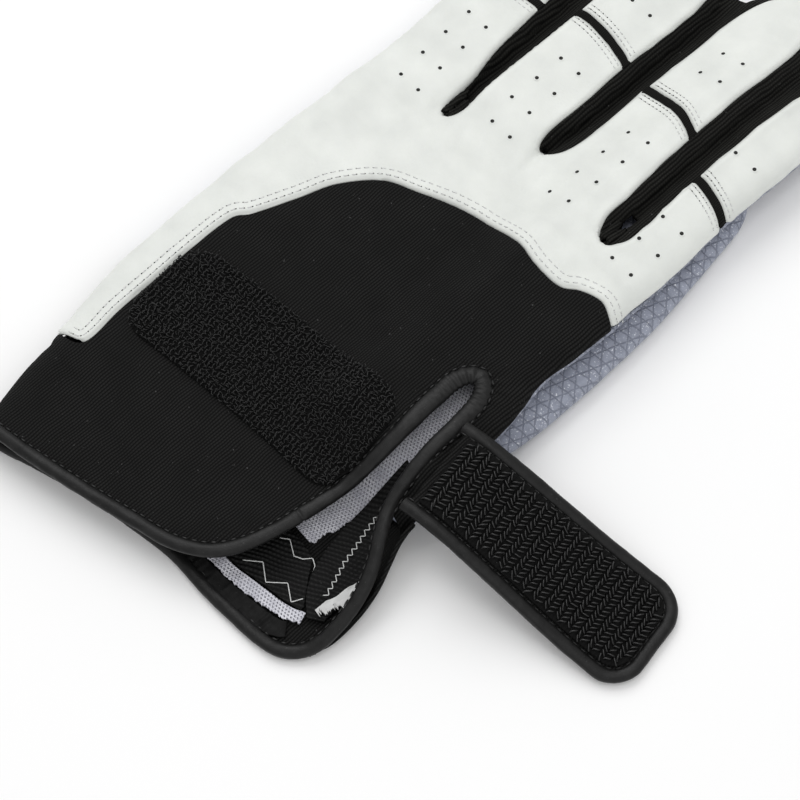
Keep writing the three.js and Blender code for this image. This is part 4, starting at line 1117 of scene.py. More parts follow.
@dataclass
class BackOfHand:
    """White leather back with its knuckle bands, perforations and seam stitching."""

    form: HandForm
    wall: float = 1.0
    band_width: float = 2.0
    hole: float = 1.1
    hole_pitch: float = 8.6
    hole_spread: float = 6.4
    first_hole: float = 13.1
    bands: tuple[tuple[float, ...], ...] = (
        (0.553, 0.58, 0.586, 0.59), (0.622, 0.63, 0.619, 0.592),
        (0.60, 0.60, 0.583, 0.543), (0.515, 0.517, 0.506, 0.486),
    )
    hole_rows: tuple[tuple[int, int], ...] = ((4, 1), (4, 2), (4, 2), (3, 1))
    seam: Array = field(init=False)

    def __post_init__(self) -> None:
        """Lays the wavy seam between leather and knit."""
        self.seam = spline(plan([
            (-0.56, -0.42), (-0.46, -0.418), (-0.388, -0.40), (-0.395, -0.32), (-0.398, -0.25),
            (-0.402, -0.17),
            (-0.399, -0.08), (-0.37, -0.045), (-0.325, 0.03), (-0.29, 0.092), (-0.22, 0.152),
            (-0.135, 0.18),
            (-0.04, 0.207), (0.05, 0.222), (0.15, 0.222), (0.23, 0.212), (0.31, 0.212), (0.355, 0.232),
            (0.41, 0.243), (0.46, 0.232), (0.53, 0.215),
        ]), 700)

    def band_height(self, finger: int, x: Array) -> Array:
        """Length of a knuckle band's near edge at an x."""
        y = self.bands[finger][0] * HAND_LENGTH
        middle, half, _ = self.form.reach(finger, np.array(y))
        left, right = float(middle - half), float(middle + half)
        xs = [left - 3, left + 0.3 * (right - left), left + 0.7 * (right - left), right + 3]
        line = spline(np.stack([xs, np.array(self.bands[finger]) * HAND_LENGTH], axis=-1), 80)
        return np.interp(x, line[:, 0], line[:, 1])

    def band_end(self, finger: int, column: int, shift: float) -> tuple[Array, float]:
        """A strip's edge line and the length at which the band meets it."""
        line = self.form.edge(finger, column, -63.0)
        meet = self.band_height(finger, line[:, 0]) + shift - line[:, 1]
        index = int(np.argmax(meet < 0))
        return line, float(line[index, 1])

    def band_line(self, finger: int, shift: float) -> Array:
        """A knuckle band's edge between the two edges of its strip."""
        ends = [self.band_end(finger, column, shift) for column in (1, 2)]
        xs = [float(np.interp(y, line[:, 1], line[:, 0])) for line, y in ends]
        x = np.linspace(xs[0], xs[1], 80)
        y = self.band_height(finger, x) + shift
        y[0], y[-1] = ends[0][1], ends[1][1]
        return np.stack([x, y], axis=-1)

    def seam_part(self, start: Array, end: Array) -> Array:
        """The wavy seam between two of its points."""
        first, last = (int(np.argmin(distance(self.seam, p[None]))) for p in (start, end))
        return self.seam[first:last + 1]

    def strips(self) -> list[tuple[Array, Array, Array, Array]]:
        """The four lines round each of the back's strips, from the wavy seam to the band."""
        form = self.form
        splits = plan([(-0.22, 0.152), (-0.04, 0.207), (0.23, 0.212)])
        splits = np.stack([self.seam[int(np.argmin(distance(self.seam, p[None])))] for p in splits])
        corner = self.seam[int(np.argmin(distance(self.seam, plan([(-0.388, -0.40)]))))]
        outer = np.array([float(form.outline(0, 1, np.array(-62.8))), -62.8])
        thumb_y = 33.4
        thumb_side = np.array([float(form.outline(3, 2, np.array(thumb_y))), thumb_y])
        lower, upper = 24, 38

        def inner(finger: int, column: int, split: Array) -> Array:
            line = form.edge(finger, column)
            top = cut_above(line, self.band_end(finger, column, 0.0)[1])
            return joined(evenly(straight(split, line[0]), lower), evenly(top, upper))

        firsts = [
            straight(outer, corner),
            self.seam_part(splits[0], splits[1]),
            self.seam_part(splits[1], splits[2]),
            joined(self.seam_part(splits[2], plan([(0.47, 0.229)])[0])[:-1], thumb_side[None]),
        ]
        lefts = [
            evenly(cut_above(form.edge(0, 1, -62.8), self.band_end(0, 1, 0.0)[1]), 90 + lower + upper - 2),
            inner(1, 1, splits[0]),
            inner(2, 1, splits[1]),
            inner(3, 1, splits[2]),
        ]
        rights = [
            joined(evenly(self.seam_part(corner, splits[0]), 90), inner(0, 2, splits[0])),
            inner(1, 2, splits[1]),
            inner(2, 2, splits[2]),
            evenly(cut_above(form.edge(3, 2, thumb_y), self.band_end(3, 2, 0.0)[1]), lower + upper - 1),
        ]
        lasts = [self.band_line(finger, 0.0) for finger in range(4)]
        made = []
        for left, right, first, last in zip(lefts, rights, firsts, lasts):
            count = min(len(left), len(right))
            made.append((left[:count], right[:count], first, last))
        return made

    def edges(self) -> Array:
        """All the leather's sewn edges, as points of the plan."""
        lines = [self.seam] + [self.form.seams[key] for key in self.form.seams]
        lines += [self.band_line(finger, shift) for finger in range(4) for shift in (0.0, self.band_width)]
        return np.vstack(lines)

    def relief(self, points: Array) -> Array:
        """Leather relief: a rolled edge, a soft swell beside it, and shallow creases."""
        x, y = points[:, 0], points[:, 1]
        off = distance(points, self.edges()[::2])
        roll = 0.18 * np.exp(-(((off - 1.5) / 1.1) ** 2)) - 0.75 * np.exp(-((off / 0.65) ** 2))
        swell = 0.30 * noise(x / 13 + 5, y / 10, 3) + 0.14 * noise(x / 5.5, y / 3.2, 4)
        webs = np.vstack([self.form.seams[key][:1] for key in self.form.seams])
        near = np.exp(-((distance(points, webs) / 12) ** 2))
        creases = 0.16 * noise((x + 0.5 * y) / 2.6, (y - 0.4 * x) / 7.0, 9) * near
        return roll + (swell + creases) * smooth(off, 0.5, 4.0)

    def on_leather(self, plan_points: Array, lift: float) -> tuple[Array, Array]:
        """Points on the leather over a line of the plan, and the directions away from it."""
        spot = self.form.skin(plan_points, Side.BACK)
        eps = 0.2
        dx = self.form.skin(
            plan_points + [eps, 0], Side.BACK
        ) - self.form.skin(plan_points - [eps, 0], Side.BACK)
        dy = self.form.skin(
            plan_points + [0, eps], Side.BACK
        ) - self.form.skin(plan_points - [0, eps], Side.BACK)
        up = np.cross(dx, dy)
        up /= np.linalg.norm(up, axis=1, keepdims=True)
        return spot + up * (self.relief(spot) + lift)[:, None], up

    def leather(self) -> None:
        """The back and the four finger backs."""
        parts = []
        for left, right, first, last in self.strips():
            patch = self.form.skin(coons(left, right, first, last), Side.BACK)
            parts.append(Surface.grid(even_columns(patch, 44), Side.BACK))
        whole = Surface.together(parts).welded()
        whole = whole.pressed(self.relief(whole.points))
        register(whole.made("back_leather_skin", LEATHER, self.wall), "white_leather", "back_leather")
        for finger in Finger:
            i = finger.value
            left, right = (
                evenly(cut_below(self.form.edge(i, k, -63.0), self.band_end(i, k, self.band_width)[1]), 60)
                for k in (1, 2)
            )
            first = self.band_line(i, self.band_width)
            first[0], first[-1] = left[0], right[0]
            patch = self.form.skin(coons(left, right, first, straight(left[-1], right[-1])), Side.BACK, i)
            strip = Surface.grid(even_columns(patch, 44), Side.BACK).welded()
            strip = strip.pressed(self.relief(strip.points))
            name = finger.name.lower()
            register(
                strip.made(f"finger_back_{name}_skin", LEATHER, self.wall), "white_leather",
                f"finger_back_{name}"
            )

    def knuckle_bands(self) -> None:
        """The thin elastic band sunk between the leather's two edges on each finger."""
        for finger in Finger:
            i = finger.value
            near, far = self.band_line(i, -0.5), self.band_line(i, self.band_width + 0.5)
            left, right = evenly(straight(near[0], far[0]), 8), evenly(straight(near[-1], far[-1]), 8)
            patch = self.form.skin(coons(left, right, near, far), Side.BACK, i)
            band = Surface.grid(even_columns(patch, 60), Side.BACK)
            across = band.points[:, 1] - self.band_height(i, band.points[:, 0]) - self.band_width / 2
            band = band.pressed(-0.55 + 0.25 * np.exp(-((across / 0.8) ** 2)))
            name = finger.name.lower()
            register(
                band.made(f"knuckle_band_{name}_elastic", BAND, 0.6), "black_rib", f"knuckle_band_{name}"
            )

    def holes(self) -> None:
        """Perforations: small dark cups, painted shade that stands for the holes, with a soft leather lip,
        in two columns on each finger.
        """
        spots = []
        for i in range(4):
            near, far = self.hole_rows[i]
            level = self.bands[i][1] * HAND_LENGTH
            for row in range(-near, far):
                y = level + (row + 0.5) * self.hole_pitch
                y += math.copysign(self.first_hole - self.hole_pitch / 2, row + 0.5)
                middle = float(self.form.reach(i, np.array(y))[0])
                spots += [(middle - self.hole_spread / 2, y), (middle + self.hole_spread / 2, y)]
        flat = np.array(spots)
        places, up = self.on_leather(flat, 0.0)
        angle = np.arange(14) * 2 * math.pi / 14
        radii = np.array([0.85, 0.6, 0.52, 0.02]) * self.hole / 1.1
        depth = np.array([0.0, 0.035, -0.02, -0.03])
        ring = np.stack([np.cos(angle), np.sin(angle), np.zeros(14)], axis=-1)
        lip = ring[None] * radii[:3, None, None] + depth[:3, None, None] * np.array([0, 0, 1.0])
        floor = ring[None] * radii[2:, None, None] + (depth[2:, None, None] + 0.035) * np.array([0, 0, 1.0])
        east = np.cross([0.0, 1.0, 0.0], up)
        axes = np.stack([east, np.cross(up, east), up], axis=1)
        for name, rings, finish, slot in (
            ("perforation_lips", lip, LEATHER, "white_leather"),
            # The cups are painted shade: near-black discs where the holes are
            ("perforation_cups_painted_shade", floor, PAINTED_HOLE_SHADE, "black_knit")
        ):
            shape = Surface.grid(rings, Side.BACK, True)
            many = repeated(shape, places + up * 0.03, axes, np.ones((len(places), 3)))
            register(many.made(name, finish), slot)

    def stitching(self) -> None:
        """Two rows of white stitches with dark needle holes beside each sewn edge; the holes are painted
        shade, small dark rods on the leather.
        """
        white, dark = [], []
        rows = [self.seam[(self.seam[:, 0] > -44) & (self.seam[:, 0] < 46.5)]]
        normal = np.gradient(rows[0], axis=0)
        normal = np.stack([-normal[:, 1], normal[:, 0]], axis=-1)
        normal /= np.linalg.norm(normal, axis=1, keepdims=True)
        lines = [rows[0] + normal * offset for offset in (1.6, 3.3)]
        for i in range(4):
            for shift in (-2.6, -1.3, self.band_width + 1.2, self.band_width + 2.5):
                line = self.band_line(i, shift)
                lines.append(evenly(line, 60)[3:-3])
        for k, line in enumerate(lines):
            pitch = 2.1 if k < 2 else 1.5
            spots, up = self.on_leather(line, 0.02)
            white.append(thread_run(spots, up, pitch, (pitch * 0.62, 0.34, 0.24)))
            half = np.linalg.norm(np.diff(spots, axis=0), axis=1).sum()
            shift = pitch / 2 / half
            moved = along(
                np.hstack([spots, up]), np.clip(np.linspace(shift, 1 + shift, len(spots)), 0, 1)
            )[:-2]
            # Painted shade: dark rods between the stitches stand for the needle holes
            dark.append(thread_run(moved[:, :3], moved[:, 3:], pitch, (0.5, 0.3, 0.12)))
        register(Surface.together(white).made("leather_stitches", WHITE_THREAD), "white_leather")
        register(Surface.together(dark).made("leather_needle_holes_painted_shade", PAINTED_HOLE_SHADE), "black_knit")

    def build(self) -> None:
        """Makes all pieces of the back."""
        self.leather()
        self.knuckle_bands()
        self.holes()
        self.stitching()


@dataclass
class Gussets:
    """Black ribbed gussets that run round the sides of the fingers from each web."""

    form: HandForm
    wall: float = 1.0
    sink: float = 0.45

    def wrap(self, finger: int, column: int) -> Surface:
        """One gusset half: from the back's seam over the finger's side to the palm's seam."""
        form = self.form
        seam = form.edge(finger, column)
        start = float(seam[0, 1])
        outline = form.side_line(finger, column, start, form.tip(finger))
        outline[0] = seam[0]
        outline = joined(straight(seam[0], outline[12]), outline[13:])
        one, other = evenly(seam, 110), evenly(outline, 110)
        s = DENSE[None, :, None]
        flat = one[:, None] * (1 - s) + other[:, None] * s
        top = form.skin(flat, Side.BACK, finger)
        under = form.skin(flat[:, ::-1], Side.PALM, finger)
        made = Surface.grid(even_columns(np.concatenate([top, under], axis=1), 30))
        outward = made.normals()[:, 0].sum() * (1 if column == 2 else -1)
        if outward < 0:
            made.faces = [made.faces[0][:, ::-1]]
        return made.welded()

    def valley(self, web: int) -> Surface:
        """The fold where two fingers' gussets touch: a narrow trough from side to side."""
        form = self.form
        low = max(float(form.seams[(web, 2)][0, 1]), form.start(web) - 1.0)
        high = min(form.tip(web), form.tip(web + 1)) - 3.5
        y = np.linspace(low + 1.0, high, 120)[:, None]
        left, left_half, _ = form.reach(web, y)
        right, right_half, _ = form.reach(web + 1, y)
        one, other = left + left_half - 1.1, right - right_half + 1.1
        share = np.linspace(0, 1, 14)[None]
        x = one * (1 - share) + other * share
        level = (form.underside(x, y) + form.backside(x, y)) / 2
        z = level + 1.3 - 2.0 * np.sin(share * math.pi) ** 0.7 + 0.12 * noise(x / 1.5, y / 3, 25)
        return Surface.grid(np.stack([x, np.broadcast_to(y, x.shape), z], axis=-1), Side.BACK)

    def build(self) -> None:
        """Makes the three gussets, each from its two halves and the fold between them."""
        names = ("pinky_ring", "ring_middle", "middle_index")
        for web, name in enumerate(names):
            halves = [self.wrap(web, 2), self.wrap(web + 1, 1)]
            whole = Surface.together(halves)
            x, y = whole.points[:, 0], whole.points[:, 1]
            seams = np.vstack([self.form.seams[(web, 2)], self.form.seams[(web + 1, 1)]])
            off = distance(whole.points, seams)
            tuck = -self.sink - 0.3 * smooth(off, 0.0, 1.5) + 0.18 * noise(x / 2.5, y / 5.0, 20 + web)
            register(
                whole.pressed(tuck).made(f"fourchette_{name}_knit", GUSSET, self.wall), "black_rib",
                f"fourchette_{name}"
            )
            register(self.valley(web).made(f"fourchette_{name}_fold", GUSSET, self.wall), "black_rib")


@dataclass
class PalmSide:
    """Grey grip cloth of the palm and the thumb tucked under it."""

    form: HandForm
    wall: float = 1.0
    seam: float = -34.2
    thumb_width: float = 25.0
    thumb_thickness: float = 7.3
    thumb_heel: float = -12.75
    thumb_length: float = 106.0

    def palm(self) -> None:
        """Four strips from the wrist seam to the tips, welded along the lines below the webs."""
        form = self.form
        lower, upper = 60, 80
        parts = []
        for i in range(4):
            lines = []
            for column in (1, 2):
                if (i, column) in form.seams:
                    edge = form.edge(i, column)
                    foot = np.array([edge[0, 0], self.seam])
                    lines.append(joined(evenly(straight(foot, edge[0]), lower), evenly(edge, upper)))
                else:
                    whole = form.edge(i, column, self.seam)
                    lines.append(evenly(whole, lower + upper - 1))
            first, last = straight(lines[0][0], lines[1][0]), straight(lines[0][-1], lines[1][-1])
            patch = form.skin(coons(lines[0], lines[1], first, last), Side.PALM)
            parts.append(Surface.grid(even_columns(patch, 34), Side.PALM))
        whole = Surface.together(parts).welded()
        x, y = whole.points[:, 0], whole.points[:, 1]
        middle = (form.underside(x, y) + form.backside(x, y)) / 2
        flat = smooth(middle - whole.points[:, 2], 1.0, 4.0)
        relief = (0.28 * noise(x / 12, y / 9, 31) + 0.12 * noise(x / 5, y / 4, 32) - 0.3) * flat
        register(
            whole.pressed(relief).made("palm_grip_cloth", GRIP, self.wall), "grey_grip_cloth", "palm_panel"
        )

    def thumb(self) -> None:
        """The thumb: a flat sleeve of squared oval section, round at its tip and heel."""
        centre = table(
            [
                [-0.09, 0.385], [0.0, 0.3925], [0.12, 0.3955], [0.25, 0.3925], [0.36, 0.3805],
                [0.47, 0.358], [0.55, 0.337], [0.6, 0.325], [0.7, 0.30]
            ]
        )
        tip = self.thumb_heel + self.thumb_length
        half = self.thumb_width / 2
        t = (1 - np.cos(np.linspace(0, math.pi, 130))) / 2
        y = self.thumb_heel + t * self.thumb_length
        heel = np.clip((y - self.thumb_heel) / 15.0, 0, 1)
        end = np.clip((y - tip + half) / half, 0, 1)
        width = half * (1 - (1 - heel) ** 2.6) ** (1 / 2.6) * np.sqrt(np.maximum(1 - end**2, 0))
        scoop = np.clip((y - self.thumb_heel) / 30.0, 0, 1)
        bottom = self.thumb_thickness * (1 - scoop**0.6) ** 1.6
        full = np.sqrt(np.maximum(1 - end**4, 0))
        angle = np.arange(48) * 2 * math.pi / 48
        across = np.sign(np.cos(angle)) * np.abs(np.cos(angle)) ** 0.65
        up = np.sign(np.sin(angle)) * np.abs(np.sin(angle)) ** 0.75
        x = PALM_WIDTH * centre(y / HAND_LENGTH, 1)[:, None] + width[:, None] * across
        middle = (bottom + self.thumb_thickness) / 2
        z = middle[:, None] + (self.thumb_thickness - bottom)[:, None] / 2 * full[:, None] * up
        points = np.stack([x, np.repeat(y[:, None], 48, axis=1), z], axis=-1)
        sleeve = Surface.grid(points, None, True).welded()
        if (sleeve.normals()[:, 2] * (sleeve.points[:, 2] - self.thumb_thickness / 2)).sum() < 0:
            sleeve.faces = [faces[:, ::-1] for faces in sleeve.faces]
        x, y = sleeve.points[:, 0], sleeve.points[:, 1]
        inner = smooth(sleeve.points[:, 2], 0.5, 2.5) * smooth(y, -12, -6)
        relief = (0.22 * noise(x / 9, y / 8, 41) + 0.1 * noise(x / 4, y / 5, 42) - 0.15) * inner
        register(sleeve.pressed(relief).made("thumb_grip_cloth", GRIP), "grey_grip_cloth", "thumb_sleeve")

    def build(self) -> None:
        """Makes palm and thumb."""
        self.palm()
        self.thumb()


@dataclass
class Cuff:
    """Black knit cuff with its slit, the lower wrist sheet, and the piping round both."""

    form: HandForm
    back: BackOfHand
    wall: float = 1.0
    piping_width: float = 3.4
    piping_height: float = 2.6
    foot_room: float = 0.1
    pinky_roll: float = 8.0
    curl_reach: float = 7.0
    stitch_pitch: float = 2.3
    gather: tuple[float, float] = (35.7, -1.0)
    rows: tuple[tuple[float, ...], ...] = (
        (-0.36, -0.602, 1, 1), (-0.25, -0.588, 1, 1), (-0.09, -0.563, 1, 1), (0.05, -0.538, 1, 1),
        (0.145, -0.520, 1, 1),
        (0.213, -0.492, 1, 1), (0.256, -0.455, 1, 1), (0.285, -0.402, 1, 1), (0.305, -0.335, 1, 1), (
            0.32, -0.26, 1, 1.02
        ),
        (0.328, -0.19, 1, 1.1), (0.324, -0.125, 1, 1.25), (0.319, -0.06, 1, 1.35), (0.320, -0.025, 1, 1.35),
        (0.333, -0.002, 1, 1.3), (0.357, 0.008, 1, 1.3), (0.382, -0.003, 1, 1.3), (0.398, -0.028, 1, 1.3),
        (0.405, -0.07, 1, 1.25), (0.409, -0.13, 1, 1.15), (
            0.418, -0.185, 1, 1.05
        ), (0.436, -0.235, 12.6, 1),
        (0.468, -0.275, 11.4, 1), (0.503, -0.310, 9.6, 1), (0.528, -0.345, 7.8, 1), (0.544, -0.385, 6.0, 1),
        (0.550, -0.425, 4.2, 1), (0.545, -0.458, 2.6, 1), (0.525, -0.485, 1.5, 1), (0.49, -0.505, 0, 1),
        (0.44, -0.514, 0, 1), (0.36, -0.518, 0, 1), (0.26, -0.521, 0, 1), (0.14, -0.520, 0, 1),
        (0.0, -0.535, 0, 1),
        (-0.15, -0.558, 0, 1), (-0.28, -0.585, 0, 1), (-0.355, -0.603, 1.8, 1), (-0.384, -0.611, 4.3, 1),
        (-0.385, -0.608, 6.0, 1),
    )

    def binding_line(self, count: int = 1000) -> Array:
        """The piping's middle with its width share. A third column of 1 stands for the cuff's
        own height, 0 for the table, and any other number is a height in millimetres."""
        given = np.array(self.rows)
        flat = given[:, :2] * [PALM_WIDTH, HAND_LENGTH]
        upper = self.form.backside(flat[:, 0], flat[:, 1]) - 0.6
        lower = self.piping_height / 2 + self.foot_room
        z = np.where(given[:, 2] == 1, upper, np.where(given[:, 2] == 0, lower, given[:, 2]))
        return spline(np.column_stack([flat, z, given[:, 3]]), count + 1, closed=True)[:-1]

    def upper_line(self) -> Array:
        """The piping's middle in the plan, from the upper wrist corner to the strap."""
        line = self.binding_line(1600)[:, :2]
        last = int(np.argmin(distance(line, plan([(0.436, -0.240)]))))
        return line[:last + 1]

    def panel(self) -> None:
        """The cuff: rows run round the slit from the piping out to the leather seam."""
        form = self.form
        inner = self.upper_line()
        left = np.linspace(-0.602, -0.419, 60) * HAND_LENGTH
        right = np.linspace(0.229, -0.245, 150) * HAND_LENGTH
        pinky_side = np.stack([form.outline(0, 1, left), left], axis=-1)
        thumb_side = np.stack([form.outline(3, 2, right), right], axis=-1)
        wavy = self.back.seam
        wavy = wavy[(wavy[:, 0] > pinky_side[-1, 0] + 0.2) & (wavy[:, 0] < thumb_side[0, 0] - 0.1)]
        outer = np.vstack([pinky_side, wavy, thumb_side])
        pairs = [
            (
                (-0.36, -0.602), (-0.402, -0.60)
            ), ((-0.25, -0.588), (-0.47, -0.419)), ((-0.15, -0.572), (-0.388, -0.40)),
            ((0.0, -0.547), (-0.398, -0.25)), (
                (0.145, -0.52), (-0.399, -0.08)
            ), ((0.256, -0.455), (-0.325, 0.03)),
            (
                (0.305, -0.335), (-0.22, 0.152)
            ), ((0.328, -0.19), (-0.04, 0.207)), ((0.320, -0.025), (0.15, 0.222)),
            ((0.357, 0.008), (0.355, 0.232)), (
                (0.382, -0.003), (0.472, 0.229)
            ), ((0.398, -0.028), (0.46, 0.10)),
            ((0.405, -0.07), (0.478, 0.0)), ((0.418, -0.185), (0.49, -0.15)), (
                (0.436, -0.240), (0.492, -0.245)
            ),
        ]
        ends = [
            [int(np.argmin(distance(line, plan([pair[k]])))) for pair in pairs] for k,
            line in enumerate((inner, outer))
        ]
        lines = []
        for line, marks in zip((inner, outer), ends):
            spans = [evenly(line[a:b + 1], 22) for a, b in zip(marks[:-1], marks[1:])]
            lines.append(joined(*spans))
        s = DENSE[None, :, None]
        flat = lines[0][:, None] * (1 - s) + lines[1][:, None] * s
        sheet = Surface.grid(even_columns(form.skin(flat, Side.BACK), 70), Side.BACK).welded()
        register(
            sheet.pressed(self.relief(sheet.points)).made("cuff_knit_panel", KNIT, self.wall), "black_knit",
            "cuff_panel"
        )

    def relief(self, points: Array) -> Array:
        """Knit relief: sunk beside the leather, soft waves, and gathers fanning from the slit."""
        x, y = points[:, 0], points[:, 1]
        waves = 0.34 * noise(x / 16 + 2, y / 11, 51) + 0.12 * noise(x / 6, y / 5, 52)
        pucker = -0.35 * np.exp(-(((y + 0.16 * x + 73.5) / 1.2) ** 2)) * smooth(-x, -12.0, 5.0)
        apart = np.hypot(x - self.gather[0], y - self.gather[1])
        turn = np.arctan2(y - self.gather[1], x - self.gather[0])
        fan = 0.3 * np.sin(
            turn * 15 + 1.5 * noise(turn * 3, apart / 6, 53)
        ) * np.exp(-((apart / 8.0) ** 2)) * smooth(y, -9, 0)
        off = distance(points, self.back.seam[::3])
        return -0.4 + waves * smooth(off, 0.5, 6) + pucker + fan

    def lower_sheet(self) -> None:
        """The lower wrist sheet: it starts under the pinky side, lies flat and curls up on the
        thumb side, where its height grows toward the strap."""
        outer = spline(plan([
            (0.538, -0.472), (0.553, -0.463), (0.566, -0.447), (0.573, -0.415), (0.571, -0.375),
            (0.559, -0.335),
            (0.537, -0.295), (0.517, -0.262), (0.508, -0.238), (0.506, -0.225),
        ]), 90)
        low = self.binding_line(1600)[:, :2]
        first, last = (
            int(np.argmin(distance(low, plan([spot])))) for spot in ((0.538, -0.472), (-0.384, -0.611))
        )
        low = low[first:last + 1][::-1]
        low[-1] = outer[0]
        y = np.linspace(low[0, 1], outer[-1, 1], 90)
        pinky = np.stack([PALM_WIDTH * self.form.sides(y / HAND_LENGTH, 1), y], axis=-1)
        flat = coons(pinky, outer, low, straight(pinky[-1], outer[-1]))
        x, y = flat[..., 0], flat[..., 1]
        rise = table([
            [-0.64, 0.0], [-0.485, 0.5], [-0.45, 1.6], [-0.415, 3.3], [-0.375, 5.1], [-0.335, 6.9],
            [-0.295, 8.9],
            [-0.262, 10.0], [-0.2, 10.4],
        ])(y / HAND_LENGTH, 1)
        up = np.clip(1 - (outer[:, 0][:, None] - x) / self.curl_reach, 0, 1)
        roll = np.clip((x - pinky[:, 0][:, None]) / self.pinky_roll, 0, 1)
        drop = self.form.puff(y) / 2 - 0.15
        z = drop * (1 - np.sqrt(1 - (1 - roll) ** 2)) + rise * (
            1 - np.sqrt(np.maximum(1 - up**2, 0))
        ) ** 0.8
        points = even_columns(np.stack([x, y, z], axis=-1), 120)
        sheet = Surface.grid(points, Side.PALM).welded()
        away = smooth(sheet.points[:, 2], 0.3, 2.0)
        swell = 0.1 * noise(sheet.points[:, 0] / 7, sheet.points[:, 1] / 6, 61)
        register(
            sheet.pressed(-0.15 + swell * away).made("wrist_under_knit", KNIT, self.wall), "black_knit",
            "wrist_under_panel"
        )

    def piping(self) -> None:
        """The piping as one ring, pinched at its stitches and gathered round the slit's end."""
        line = self.binding_line(1500)
        path, swell = line[:, :3], line[:, 3]
        step = np.linalg.norm(np.roll(path, -1, axis=0) - path, axis=1).mean()
        run = np.arange(len(path)) * step
        angle = np.arange(20) * 2 * math.pi / 20
        apex = np.exp(-((np.hypot(path[:, 0] - self.gather[0], path[:, 1] - self.gather[1]) / 9.0) ** 2))
        pinch = 0.16 * np.sin(run * 2 * math.pi / 1.7 + 1.5 * np.sin(run / 2.3)) * apex
        soft = 0.07 * noise(
            run[:, None] / 4.0, angle[None] * 1.5, 71
        ) + 0.05 * noise(run[:, None] / 1.5, angle[None] * 2.5, 72)
        seams = np.zeros(len(path))
        for place in ((0.300, -0.345), (0.435, -0.262)):
            off = np.linalg.norm(path[:, :2] - plan([place]), axis=1)
            seams -= 0.28 * np.exp(-((off / 0.35) ** 2)) - 0.1 * np.exp(-(((off - 1.2) / 0.8) ** 2))
        ripple = pinch[:, None] * (0.6 + 0.4 * np.cos(angle)[None] ** 2) + soft + seams[:, None]
        ring = pipe(path, self.piping_width * swell, np.full(len(path), self.piping_height), True, ripple)
        register(ring.made("wrist_piping", PIPING), "piping", "wrist_binding")
        slope = np.roll(path, -1, axis=0) - np.roll(path, 1, axis=0)
        slope /= np.linalg.norm(slope, axis=1, keepdims=True)
        side = np.cross([0.0, 0.0, 1.0], slope)
        side /= np.linalg.norm(side, axis=1, keepdims=True)
        rise = np.cross(slope, side)
        turned = int(np.argmin(distance(path, plan([(0.436, -0.240)]))))
        cloth_side = np.where(np.arange(len(path)) < turned, 1.0, -1.0)[:, None]
        inner = path + side * cloth_side * (self.piping_width * swell[:, None] / 2 + 0.1) + rise * 0.55
        run_of = thread_run(inner, rise, self.stitch_pitch, (1.7, 0.45, 0.4))
        register(run_of.made("wrist_piping_stitches", BLACK_THREAD), "piping")

    def build(self) -> None:
        """Makes cuff, lower sheet and piping."""
        self.panel()
        self.lower_sheet()
        self.piping()


